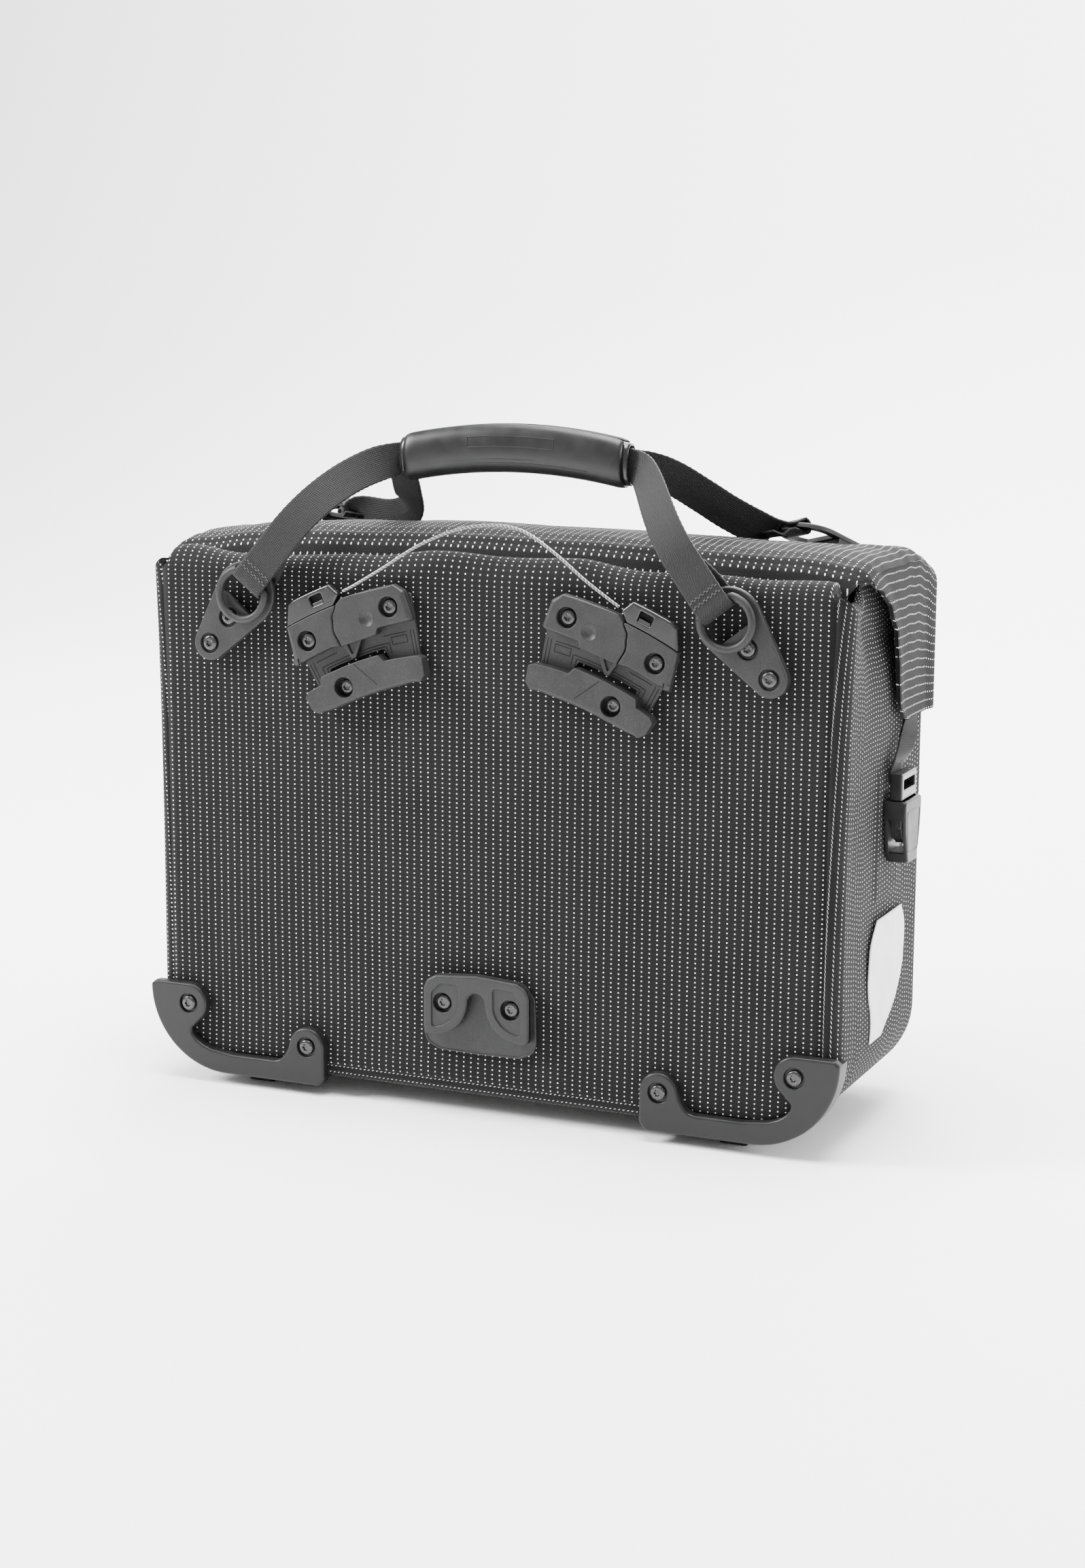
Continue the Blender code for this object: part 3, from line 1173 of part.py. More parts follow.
def smooth_route(route, count):
    """Even points on one smooth curve through a route."""
    points = [Vector(place) for place in route]
    ends = [points[0] * 2 - points[1], *points, points[-1] * 2 - points[-2]]
    dense = []
    for i in range(1, len(ends) - 2):
        a, b, c, d = ends[i - 1:i + 3]
        for step in range(12):
            t = step / 12
            dense.append(0.5 * (2 * b + (c - a) * t + (2 * a - 5 * b + 4 * c - d) * t * t
                                + (3 * b - a - 3 * c + d) * t ** 3))
    dense.append(points[-1])
    lengths = [0.0]
    for low, high in zip(dense, dense[1:]):
        lengths.append(lengths[-1] + (high - low).length)
    result = []
    for target in spread(0.0, lengths[-1], count):
        i = max(1, next((n for n, length in enumerate(lengths) if length >= target), len(lengths) - 1))
        share = (target - lengths[i - 1]) / (lengths[i] - lengths[i - 1])
        result.append(dense[i - 1].lerp(dense[i], min(1.0, share)))
    return result


def build_cable():
    """Release cable held between the two sliders."""
    return wire("release_cable", smooth_route(CABLE_ROUTE, CABLE_POINTS), CABLE_RADIUS, "cable_sheath", False)


def stand_at_origin():
    """Parent every piece to one empty and move it so the box's bottom centre is the origin."""
    bpy.context.view_layer.update()
    graph = bpy.context.evaluated_depsgraph_get()
    low = Vector((1e9, 1e9, 1e9))
    high = -low
    for node in PARTS.objects:
        shape = node.evaluated_get(graph)
        mesh = shape.to_mesh()
        for vertex in mesh.vertices:
            place = shape.matrix_world @ vertex.co
            low = Vector(map(min, low, place))
            high = Vector(map(max, high, place))
        shape.to_mesh_clear()
    anchor = bpy.data.objects.new("bag_anchor", None)
    bpy.context.scene.collection.objects.link(anchor)
    for node in [*PARTS.objects, *CUTTERS.objects]:
        node.parent = anchor
    anchor.location = (-(low.x + high.x) / 2, -(low.y + high.y) / 2, -low.z)
    bpy.context.view_layer.update()


def main():
    """Build every piece of the pannier."""
    clear_scene()
    build_body_shell()
    build_back_panel()
    build_lid()
    build_lower_hook()
    build_grip()
    build_cable()
    for side in (-1, 1):
        build_reflector(side)
        build_guard(side)
        build_front_foot(side)
        build_hook(side)
        build_ring_plate("back_plate_" + side_name(side), back_plate_frame(side))
        build_ring_plate("front_plate_" + side_name(side), front_plate_frame(side))
        build_d_ring(side)
        build_buckle(side)
    ply = WEBBING / 2 + GAP
    build_strap("strap_back", BACK_LEGS, [back_plate_frame(-1), back_plate_frame(1)], -ply, True)
    build_strap("strap_front", FRONT_LEGS, [front_plate_frame(-1), front_plate_frame(1)], ply, False)
    stand_at_origin()


main()
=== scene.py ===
"""Dressed bicycle pannier: fine cloth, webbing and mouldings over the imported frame.

Lengths are metres. Pieces are drawn with y = 0 on the cloth of the back panel and z = 0 on the
floor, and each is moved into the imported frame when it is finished. X runs along the bag.
"""
import logging
import math
from collections.abc import Callable, Sequence
from dataclasses import dataclass
from enum import Enum

import bmesh
import bpy
from mathutils import Matrix, Vector, noise


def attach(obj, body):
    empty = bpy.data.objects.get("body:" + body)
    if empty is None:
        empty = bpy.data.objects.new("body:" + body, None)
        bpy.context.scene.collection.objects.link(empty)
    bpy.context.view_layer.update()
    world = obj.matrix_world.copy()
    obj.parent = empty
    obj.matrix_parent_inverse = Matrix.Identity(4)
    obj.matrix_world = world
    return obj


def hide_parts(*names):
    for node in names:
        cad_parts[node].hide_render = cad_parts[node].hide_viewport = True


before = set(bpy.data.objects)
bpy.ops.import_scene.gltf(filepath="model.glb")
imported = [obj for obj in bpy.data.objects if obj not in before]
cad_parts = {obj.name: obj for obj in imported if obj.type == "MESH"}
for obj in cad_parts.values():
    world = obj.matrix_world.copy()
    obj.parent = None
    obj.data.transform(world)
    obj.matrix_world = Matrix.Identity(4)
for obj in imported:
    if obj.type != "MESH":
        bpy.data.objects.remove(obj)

LOG = logging.getLogger("pannier")
TO_FRAME = Vector((0.0, -0.07497, 0.0))
BACK = Matrix(((1, 0, 0, 0), (0, 0, -1, 0), (0, 1, 0, 0), (0, 0, 0, 1)))
GAP = 0.0003
BODY_HALF, BODY_BOTTOM, BODY_CORNER = 0.208, 0.0097, 0.046
HOOK_SEAT = 0.0023
RING_BAR, RING_OUT, RING_STOCK = 0.0095, 0.0093, 0.0022
LATCH_LEAN = 21.0
WEB_THICK, WEB_WIDTH = 0.0013, 0.020
WEB_ACROSS = (-1, -0.9, -0.45, 0, 0.45, 0.9, 1)
WING_FACE, WING_FOOT = 0.2125, 0.2262
PLATE_LOBE = 0.0185
DOWN_THE_PLATE = Matrix.Diagonal((1, 1, -1, 1))
UPWARD = Vector((0, 0, 1))
Flat = tuple[float, float]
Spot = tuple[float, float, float]
Rim = float | Callable[[Flat], float]


class Side(Enum):
    """The two ends of the bag, seen from behind."""

    LEFT = -1
    RIGHT = 1

    @property
    def word(self) -> str:
        """Word for this side in node names."""
        return self.name.lower()


class Slot(Enum):
    """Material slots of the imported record."""

    CLOTH = "woven_cloth"
    WEBBING = "webbing"
    MATTE = "matte_moulding"
    GLOSS = "gloss_moulding"
    SCREW = "dark_screw"
    FILM = "reflective_film"
    SHEATH = "cable_sheath"


def ease(share: float) -> float:
    """A share held between nothing and one, eased at both ends."""
    share = min(1.0, max(0.0, share))
    return share * share * (3 - 2 * share)


def spread(low: float, high: float, count: int) -> list[float]:
    """Even places from low to high."""
    return [low + (high - low) * i / (count - 1) for i in range(count)]


def along(rows: Sequence[Flat], at: float) -> float:
    """Read a short table of places and values, eased between its rows."""
    if at <= rows[0][0]:
        return rows[0][1]
    for (start, low), (end, high) in zip(rows, rows[1:]):
        if at <= end:
            share = ease((at - start) / (end - start))
            return low * (1 - share) + high * share
    return rows[-1][1]


def arc(centre: Flat, radius: float, start: float, end: float, steps: int) -> list[Flat]:
    """Points on a circle from one angle to another, in degrees from +X."""
    turns = [math.radians(a) for a in spread(start, end, steps + 1)]
    return [(centre[0] + radius * math.cos(t), centre[1] + radius * math.sin(t)) for t in turns]


def circle(centre: Flat, radius: float) -> list[Flat]:
    """A closed ring of points."""
    return arc(centre, radius, 0, 360, 40)[:-1]


def mirrored(points: list[Flat], side: int) -> list[Flat]:
    """Points of the right-hand piece, turned over for the left."""
    return [(side * x, z) for x, z in points]


def whole(right: list[Flat]) -> list[Flat]:
    """A symmetric outline from its right half."""
    return right + mirrored(right, -1)[::-1]


def box(left: float, low: float, right: float, high: float) -> list[Flat]:
    """Four corners of a rectangle."""
    return [(left, low), (right, low), (right, high), (left, high)]


def edges(ring: list) -> list[tuple]:
    """Pairs of neighbours round a ring."""
    return list(zip(ring, [*ring[1:], ring[0]]))


def corners(ring: list[Flat]) -> list[tuple[Vector, Vector, Vector]]:
    """Each point of a ring between its two neighbours."""
    points = [Vector(point) for point in ring]
    return [(points[i - 1], here, points[(i + 1) % len(points)]) for i, here in enumerate(points)]


def wound(ring: list[Flat], left: bool = True) -> list[Flat]:
    """A ring that runs counterclockwise, or clockwise where left is not wanted."""
    area = sum(a[0] * b[1] - b[0] * a[1] for a, b in edges(ring))
    return ring if (area > 0) == left else ring[::-1]


def rounded(points: list[Flat], radius: float, steps: int = 5) -> list[Flat]:
    """Fillet the sharp corners of an outline.

    Args:
        points: Closed outline.
        radius: Wanted radius, made smaller where its neighbours are near.
        steps: Steps in each fillet.

    Returns:
        The outline with rounded corners.
    """
    result: list[Flat] = []
    for before, here, after in corners(points):
        back, ahead = before - here, after - here
        turn = math.pi - back.angle(ahead, math.pi)
        if turn < math.radians(22):
            result.append((here.x, here.y))
            continue
        reach = min(radius * math.tan(turn / 2), back.length * 0.48, ahead.length * 0.48)
        start, end = here + back.normalized() * reach, here + ahead.normalized() * reach
        for t in spread(0.0, 1.0, steps + 1):
            point = start * (1 - t) ** 2 + here * 2 * t * (1 - t) + end * t * t
            result.append((point.x, point.y))
    return result


def inset(ring: list[Flat], depth: float | list[float]) -> list[Flat]:
    """Move a ring to its left by a depth, so that a plate shrinks and a hole in it grows."""
    result = []
    depths = depth if isinstance(depth, list) else [depth] * len(ring)
    for (before, here, after), size in zip(corners(ring), depths):
        first, second = (here - before).normalized(), (after - here).normalized()
        left = Vector((-first.y - second.y, first.x + second.x))
        left = left.normalized() if left.length > 1e-6 else Vector((-first.y, first.x))
        reach = size / max(0.5, left.dot(Vector((-first.y, first.x))))
        result.append((here.x + left.x * reach, here.y + left.y * reach))
    return result


def smooth_line(points: list[Vector], step: float) -> list[Vector]:
    """Even points on a smooth curve through the given ones.

    Args:
        points: Points to pass through.
        step: Wanted distance between the points that come back.

    Returns:
        Evenly spaced points, both ends kept.
    """
    ends = [points[0] * 2 - points[1], *points, points[-1] * 2 - points[-2]]
    dense = []
    for i in range(1, len(ends) - 2):
        a, b, c, d = ends[i - 1:i + 3]
        for t in spread(0.0, 1.0, 17)[:-1]:
            dense.append(0.5 * (2 * b + (c - a) * t + (2 * a - 5 * b + 4 * c - d) * t * t
                                + (3 * b - a - 3 * c + d) * t ** 3))
    dense.append(points[-1])
    runs = [0.0]
    for low, high in zip(dense, dense[1:]):
        runs.append(runs[-1] + (high - low).length)
    result, i = [], 1
    for target in spread(0.0, runs[-1], max(2, round(runs[-1] / step) + 1)):
        while i < len(runs) - 1 and runs[i] < target:
            i += 1
        share = (target - runs[i - 1]) / max(1e-9, runs[i] - runs[i - 1])
        result.append(dense[i - 1].lerp(dense[i], min(1.0, share)))
    return result


class Graph:
    """A material's node tree, built with short calls."""

    def __init__(self, name: str) -> None:
        """Start a Principled material of that name."""
        self.material = bpy.data.materials.new(name)
        self.material.use_nodes = True
        self.tree = self.material.node_tree
        self.shader = self.tree.nodes["Principled BSDF"]

    def node(self, kind: str, *inputs: object, **settings: object) -> bpy.types.Node:
        """Add a node.

        Args:
            kind: Node type without its ShaderNode prefix.
            inputs: Value or output socket for each input in order, None to leave one alone.
            settings: Properties of the node.

        Returns:
            The node.
        """
        made = self.tree.nodes.new("ShaderNode" + kind)
        for key, value in settings.items():
            setattr(made, key, value)
        for plug, value in zip(made.inputs, inputs):
            if isinstance(value, bpy.types.NodeSocket):
                self.tree.links.new(value, plug)
            elif value is not None:
                plug.default_value = value
        return made

    def maths(self, operation: str, *inputs: object) -> bpy.types.NodeSocket:
        """Output of a Math node."""
        return self.node("Math", *inputs, operation=operation).outputs[0]

    def times(self, first: object, second: object) -> bpy.types.NodeSocket:
        """Product of two values."""
        return self.maths("MULTIPLY", first, second)

    def plus(self, first: object, second: object) -> bpy.types.NodeSocket:
        """Sum of two values."""
        return self.maths("ADD", first, second)

    def noise(self, where: object, scale: float, detail: float = 2.0) -> bpy.types.NodeSocket:
        """Grey output of a noise texture at that scale per metre."""
        return self.node("TexNoise", where, None, scale, detail).outputs[0]

    def span(self, value: object, low: float, high: float, start: float, end: float) -> bpy.types.NodeSocket:
        """Map a value smoothly from one range to another."""
        made = self.node("MapRange", value, low, high, start, end, interpolation_type="SMOOTHSTEP")
        return made.outputs[0]

    def mix(self, share: object, low: object, high: object) -> bpy.types.NodeSocket:
        """Mix two colours."""
        made = self.tree.nodes.new("ShaderNodeMix")
        made.data_type = "RGBA"
        for key, value in ((0, share), (6, low), (7, high)):
            if isinstance(value, bpy.types.NodeSocket):
                self.tree.links.new(value, made.inputs[key])
            else:
                made.inputs[key].default_value = value
        return made.outputs[2]

    def finish(self, colour: object, roughness: object, height: object, depth: float,
               **fixed: object) -> bpy.types.Material:
        """Plug the results into the shader.

        Args:
            colour: Base colour socket.
            roughness: Roughness socket or value.
            height: Height socket for the bump.
            depth: Real height of the bump in metres.
            fixed: Constants for other sockets, named with underscores.

        Returns:
            The material.
        """
        bump = self.node("Bump", 1.0, depth, 0.1, height)
        for name, value in (("Base Color", colour), ("Roughness", roughness), ("Normal", bump.outputs[0])):
            if isinstance(value, bpy.types.NodeSocket):
                self.tree.links.new(value, self.shader.inputs[name])
            else:
                self.shader.inputs[name].default_value = value
        for name, value in fixed.items():
            self.shader.inputs[name.replace("_", " ")].default_value = value
        return self.material

    def place(self) -> bpy.types.NodeSocket:
        """Coordinates in metres."""
        return self.node("TexCoord").outputs["Object"]

    def weave(self) -> tuple[bpy.types.NodeSocket, bpy.types.NodeSocket, bpy.types.NodeSocket]:
        """Cloth coordinates in metres, whole, across the threads and along them."""
        layer = self.node("UVMap", uv_map="weave").outputs[0]
        parts = self.node("SeparateXYZ", layer).outputs
        return layer, parts[0], parts[1]


def grey(level: float, blue: float = 1.0) -> tuple[float, float, float, float]:
    """A grey, a little bluer or warmer."""
    return (level, level, level * blue, 1.0)


@dataclass(frozen=True)
class DottedCloth:
    """Charcoal twill with reflective threads that surface as rows of dots, coloured near white: partly the threads' own
    pale grey, partly a painted reflection of their bright return.
    """

    name: str = "dotted_cloth"
    across: float = 0.00444
    along: float = 0.00264
    dot_width: float = 0.00074
    dot_length: float = 0.00074
    squareness: float = 2.6
    twill: float = 0.00072
    dark: float = 0.0025
    light: float = 0.0125
    # Dot colour: the threads' own pale grey, lifted to near white as a painted reflection.
    pale: float = 0.9

    def build(self) -> bpy.types.Material:
        """Node material of the cloth."""
        g = Graph(self.name)
        place, u, v = g.weave()
        column = g.maths("DIVIDE", u, self.across)
        row = g.maths("DIVIDE", v, self.along)
        beside = g.times(g.maths("SUBTRACT", g.maths("FRACT", column), 0.5), self.across)
        above = g.times(g.maths("SUBTRACT", g.maths("FRACT", row), 0.5), self.along)
        squares = [g.maths("POWER", g.maths("ABSOLUTE", g.maths("DIVIDE", off, size / 2)), self.squareness)
                   for off, size in ((beside, self.dot_width), (above, self.dot_length))]
        near = g.maths("SQRT", g.plus(*squares))
        dots = g.span(near, 0.80, 1.15, 1.0, 0.0)
        cell = g.node("CombineXYZ", g.maths("FLOOR", column), g.maths("FLOOR", row), 0.0).outputs[0]
        odd = g.node("TexWhiteNoise", cell, noise_dimensions="3D").outputs[0]
        pitch = 2 * math.pi / self.twill
        rib = g.maths("SINE", g.times(g.plus(u, g.times(v, 1.4)), pitch))
        yarn = g.maths("SINE", g.times(v, pitch * 1.3))
        twill = g.span(g.plus(rib, g.times(yarn, 0.5)), -1.3, 1.4, 0.0, 1.0)
        fuzz = g.noise(place, 1900.0, 2.0)
        drift = g.noise(place, 26.0, 3.0)
        share = g.times(g.plus(g.times(twill, 0.45), g.span(fuzz, 0.25, 0.8, 0.0, 0.75)),
                        g.span(drift, 0.2, 0.8, 0.7, 1.1))
        ground = g.mix(share, grey(self.dark, 1.03), grey(self.light, 1.02))
        # Dot colour near white: own pale grey of the reflective threads plus a painted reflection.
        bright = g.mix(odd, grey(self.pale * 0.70), grey(self.pale))
        colour = g.mix(dots, ground, bright)
        rough = g.span(dots, 0.0, 1.0, 0.84, 0.45)
        height = g.plus(g.times(twill, 0.5), g.plus(g.times(dots, 0.6), g.times(fuzz, 0.5)))
        return g.finish(colour, rough, height, 0.00016, Sheen_Weight=0.04, Sheen_Roughness=0.5,
                        Specular_IOR_Level=0.08)


@dataclass(frozen=True)
class Webbing:
    """Close-woven black strap with ribs across it and raised edges."""

    name: str = "woven_webbing"
    half: float = 0.0100
    rib: float = 0.00125
    thread: float = 0.00105
    dark: float = 0.002
    light: float = 0.022

    def build(self) -> bpy.types.Material:
        """Node material of the webbing."""
        g = Graph(self.name)
        place, u, v = g.weave()
        slant = g.maths("PINGPONG", g.maths("DIVIDE", u, self.thread * 4), 1.0)
        rib = g.maths("SINE", g.times(g.plus(g.maths("DIVIDE", v, self.rib), g.times(slant, 0.9)), 2 * math.pi))
        thread = g.maths("SINE", g.times(u, 2 * math.pi / self.thread))
        woven = g.span(g.plus(g.times(rib, 0.7), g.times(thread, 0.55)), -1.0, 1.1, 0.0, 1.0)
        fuzz = g.noise(place, 1600.0, 3.0)
        edge = g.span(g.maths("ABSOLUTE", u), self.half * 0.88, self.half * 0.93, 0.0, 1.0)
        share = g.times(woven, g.span(fuzz, 0.3, 0.75, 0.45, 1.1))
        colour = g.mix(share, grey(self.dark), grey(self.light))
        colour = g.mix(g.times(edge, 0.35), colour, grey(self.light * 0.5))
        height = g.plus(woven, g.times(fuzz, 0.4))
        return g.finish(colour, 0.62, height, 0.00030, Sheen_Weight=0.04, Sheen_Roughness=0.4,
                        Specular_IOR_Level=0.20)


@dataclass(frozen=True)
class Moulding:
    """Moulded plastic with a sparked grain, faint flow marks and rubbed places."""

    name: str
    base: float = 0.017
    spots: float = 0.35
    roughness: float = 0.46
    grain: float = 2300.0
    depth: float = 0.00007
    wear: float = 0.25
    shine: float = 0.22

    def build(self) -> bpy.types.Material:
        """Node material of the moulding."""
        g = Graph(self.name)
        place = g.place()
        grain = g.noise(place, self.grain, 2.0)
        flow = g.noise(place, 85.0, 4.0)
        rub = g.span(g.noise(place, 420.0, 5.0), 0.56, 0.74, 0.0, self.wear)
        level = g.span(grain, 0.25, 0.75, 1 - self.spots, 1 + self.spots)
        colour = g.mix(g.span(flow, 0.3, 0.7, 0.0, 1.0), grey(self.base * 0.86, 1.02), grey(self.base * 1.12, 1.02))
        colour = g.mix(rub, colour, grey(self.base * 1.9))
        scaled = g.node("VectorMath", colour, level, operation="MULTIPLY").outputs[0]
        rough = g.plus(g.span(flow, 0.2, 0.8, self.roughness - 0.06, self.roughness + 0.06), g.times(rub, 0.12))
        return g.finish(scaled, rough, grain, self.depth, Specular_IOR_Level=self.shine)


@dataclass(frozen=True)
class ScrewSteel:
    """Blackened screw steel, bright where a driver has rubbed it."""

    name: str = "blackened_screw"

    def build(self) -> bpy.types.Material:
        """Node material of the screws."""
        g = Graph(self.name)
        place = g.place()
        speck = g.noise(place, 1500.0, 3.0)
        colour = g.mix(g.span(speck, 0.5, 0.75, 0.0, 0.6), grey(0.035), grey(0.12))
        return g.finish(colour, g.span(speck, 0.3, 0.8, 0.16, 0.30), speck, 0.00002, Metallic=0.6)


@dataclass(frozen=True)
class Film:
    """Pale reflective film with a net of fine cells under scratches."""

    name: str = "reflective_patch"
    cell: float = 0.0028

    def build(self) -> bpy.types.Material:
        """Node material of the film."""
        g = Graph(self.name)
        place, u, v = g.weave()
        net = g.node("TexVoronoi", place, None, 1 / self.cell, feature="DISTANCE_TO_EDGE")
        net.inputs["Randomness"].default_value = 0.15
        lines = g.span(net.outputs[0], 0.02, 0.07, 1.0, 0.0)
        long = g.node("CombineXYZ", g.times(u, 2.4), g.times(v, 0.22), 0.0).outputs[0]
        scratch = g.span(g.noise(long, 620.0, 3.0), 0.60, 0.72, 0.0, 1.0)
        cloud = g.noise(place, 55.0, 3.0)
        colour = g.mix(g.span(cloud, 0.3, 0.7, 0.0, 1.0), grey(0.40, 1.01), grey(0.56, 1.01))
        colour = g.mix(g.times(lines, 0.35), colour, grey(0.68))
        colour = g.mix(g.times(scratch, 0.25), colour, grey(0.30))
        height = g.plus(g.times(lines, 0.8), g.times(scratch, -0.5))
        return g.finish(colour, g.span(cloud, 0.3, 0.7, 0.28, 0.42), height, 0.00003, Coat_Weight=0.4)


@dataclass(frozen=True)
class Thread:
    """Sewing thread or a cut cloth edge, with twisted strands."""

    name: str
    low: float
    high: float

    def build(self) -> bpy.types.Material:
        """Node material of the thread."""
        g = Graph(self.name)
        place = g.place()
        strand = g.noise(place, 2600.0, 2.0)
        colour = g.mix(g.span(strand, 0.35, 0.65, 0.0, 1.0), grey(self.low), grey(self.high))
        return g.finish(colour, 0.7, strand, 0.0001, Sheen_Weight=0.1)


@dataclass(frozen=True)
class Sheath:
    """Clear-jacketed steel cable: twisted strands seen through a glossy skin."""

    name: str = "cable_strands"

    def build(self) -> bpy.types.Material:
        """Node material of the cable."""
        g = Graph(self.name)
        place, u, v = g.weave()
        turn = g.plus(g.maths("DIVIDE", v, 0.0024), g.maths("DIVIDE", u, 0.0028))
        strand = g.span(g.maths("SINE", g.times(turn, 2 * math.pi)), -0.6, 0.9, 0.0, 1.0)
        fleck = g.noise(place, 900.0, 2.0)
        colour = g.mix(g.times(strand, g.span(fleck, 0.3, 0.7, 0.7, 1.0)), grey(0.035), grey(0.26))
        return g.finish(colour, 0.32, strand, 0.00006, Coat_Weight=0.5, Metallic=0.2)


@dataclass(frozen=True)
class Backdrop:
    """Pale matt studio board."""

    name: str = "studio_board"
    level: float = 0.94

    def build(self) -> bpy.types.Material:
        """Node material of the floor."""
        g = Graph(self.name)
        tooth = g.noise(g.place(), 300.0, 2.0)
        colour = g.mix(tooth, grey(self.level * 0.99), grey(self.level))
        return g.finish(colour, 0.9, tooth, 0.00002, Specular_IOR_Level=0.1)


CLOTH = DottedCloth()
WEBBING = Webbing()
HOOK_MATTE = Moulding("grained_hook_moulding")
GUARD_SATIN = Moulding("satin_guard_moulding", base=0.008, spots=0.12, roughness=0.40, grain=3200.0,
                       depth=0.00003, wear=0.10, shine=0.24)
SLIDER_GLOSS = Moulding("gloss_slider_moulding", base=0.010, spots=0.15, roughness=0.22, depth=0.00002,
                        wear=0.45, shine=0.45)
GRIP_RUBBER = Moulding("grip_rubber", base=0.007, spots=0.22, roughness=0.36, grain=3400.0, depth=0.00004, wear=0.2,
                       shine=0.30)
# Near-black moulding: painted shade for the bottoms of sunk grooves, facet lines and the slider's window floor.
GROOVE_SHADE = Moulding("painted_shade_groove", base=0.004, spots=0.2, roughness=0.8, wear=0.0)
SCREW = ScrewSteel()
FILM = Film()
DARK_THREAD = Thread("dark_thread", 0.010, 0.060)
SHEATH = Sheath()
MADE: dict[str, bpy.types.Material] = {}


def material_of(finish: object) -> bpy.types.Material:
    """The finish's material, built once."""
    if finish.name not in MADE:
        MADE[finish.name] = finish.build()
    return MADE[finish.name]


class Piece:
    """One visible piece, joined from mesh parts that lie in the drawing's frame."""

    def __init__(self, name: str, *finishes: object) -> None:
        """Start an empty piece with the finishes that its parts use."""
        self.name = name
        self.finishes = finishes
        self.bm = bmesh.new()
        self.layer = self.bm.loops.layers.uv.new("weave")
        self.wall: tuple[float, float] | None = None

    def _add(self, part: bmesh.types.BMesh, place: Matrix | None, finish: int) -> None:
        """Join a part on, with its faces pointing out."""
        if place is not None:
            part.transform(place)
        bmesh.ops.recalc_face_normals(part, faces=part.faces)
        if part.calc_volume(signed=True) < 0:
            bmesh.ops.reverse_faces(part, faces=part.faces)
        for face in part.faces:
            face.material_index = finish
            face.smooth = True
        mesh = bpy.data.meshes.new("part")
        part.to_mesh(mesh)
        part.free()
        self.bm.from_mesh(mesh)
        bpy.data.meshes.remove(mesh)

    def plate(self, outline: list[Flat], low: float, high: float, edge: Rim = 0.0006,
              holes: tuple[list[Flat], ...] = (), place: Matrix = BACK, finish: int = 0, steps: int = 3) -> "Piece":
        """A flat moulding with rounded rims and holes.

        Args:
            outline: Its closed outline.
            low: Height of its seat above the cloth.
            high: Height of its face.
            edge: Radius of the rim at its face, or a rule that gives it for each point.
            holes: Outlines cut through it.
            place: Frame it is drawn in.
            finish: Which of the piece's finishes it takes.
            steps: Steps round each rim.

        Returns:
            The piece.
        """
        part = bmesh.new()
        rims: list[list[bmesh.types.BMVert]] = []
        seats: list[list[bmesh.types.BMVert]] = []
        for i, ring in enumerate((outline, *holes)):
            ring = wound(ring, i == 0)
            rims_of = [edge(point) if callable(edge) else edge for point in ring]
            if i:
                rims_of = [min(size, 0.0006) for size in rims_of]
            walls = [[part.verts.new((x, y, low)) for x, y in ring]]
            for t in spread(0.0, math.pi / 2, steps + 1):
                moved = inset(ring, [size * (1 - math.cos(t)) for size in rims_of])
                walls.append([part.verts.new((x, y, high - size * (1 - math.sin(t))))
                              for (x, y), size in zip(moved, rims_of)])
            for below, above in zip(walls, walls[1:]):
                for (a, b), (c, d) in zip(edges(below), edges(above)):
                    part.faces.new((a, b, d, c))
            seats.append(walls[0])
            rims.append(walls[-1])
        for rings in (seats, rims):
            loose = [part.edges.get(pair) for ring in rings for pair in edges(ring)]
            bmesh.ops.triangle_fill(part, use_beauty=True, edges=loose)
        self._add(part, place, finish)
        return self

    def loft(self, rings: list[list[tuple]], place: Matrix | None = None, finish: int = 0,
             closed: bool = False) -> "Piece":
        """A skin through rings of points.

        Args:
            rings: Rings with one number of points, in order.
            place: Frame they are drawn in.
            finish: Which of the piece's finishes it takes.
            closed: Whether the last ring joins the first, or both ends are capped.

        Returns:
            The piece.
        """
        part = bmesh.new()
        layer = part.loops.layers.uv.new("weave")
        made = [[part.verts.new(point) for point in ring] for ring in rings]
        pairs = list(zip(made, made[1:])) + ([(made[-1], made[0])] if closed else [])
        run = 0.0
        for low, high in pairs:
            length = (low[0].co - high[0].co).length
            size = len(low)
            for i in range(size):
                j = (i + 1) % size
                face = part.faces.new((low[i], low[j], high[j], high[i]))
                girth = (low[i].co - low[j].co).length
                for loop, (u, v) in zip(face.loops, ((i, 0), (i + 1, 0), (i + 1, 1), (i, 1))):
                    loop[layer].uv = (u * girth, run + v * length)
            run += length
        if not closed:
            part.faces.new(made[0])
            part.faces.new(made[-1])
        self._add(part, place, finish)
        return self

    def tube(self, points: list, radius: float, sides: int = 12, closed: bool = False,
             place: Matrix | None = None, finish: int = 0, flat: float = 1.0, up: Vector | None = None) -> "Piece":
        """A round or oval bar along a line.

        Args:
            points: Points of its centre line.
            radius: Radius of the bar.
            sides: Sides of its section.
            closed: Whether it is a ring.
            place: Frame it is drawn in.
            finish: Which of the piece's finishes it takes.
            flat: Height of the section as a share of its width.
            up: Direction of the section's height.

        Returns:
            The piece.
        """
        line = [Vector(p) for p in points]
        rings = []
        lift = up or UPWARD
        for i, point in enumerate(line):
            before = line[i - 1] if closed or i else point
            after = line[(i + 1) % len(line)] if closed or i < len(line) - 1 else point
            heading = (after - before).normalized()
            if abs(heading.dot(lift)) > 0.98:
                lift = Vector((0, 1, 0)) if abs(heading.y) < 0.9 else Vector((1, 0, 0))
            across = heading.cross(lift).normalized()
            above = across.cross(heading).normalized()
            if up is None:
                lift = above
            ring = []
            for turn in spread(0.0, 2 * math.pi, sides + 1)[:-1]:
                ring.append(point + across * radius * math.cos(turn) + above * radius * flat * math.sin(turn))
            rings.append(ring)
        return self.loft(rings, place, finish, closed)

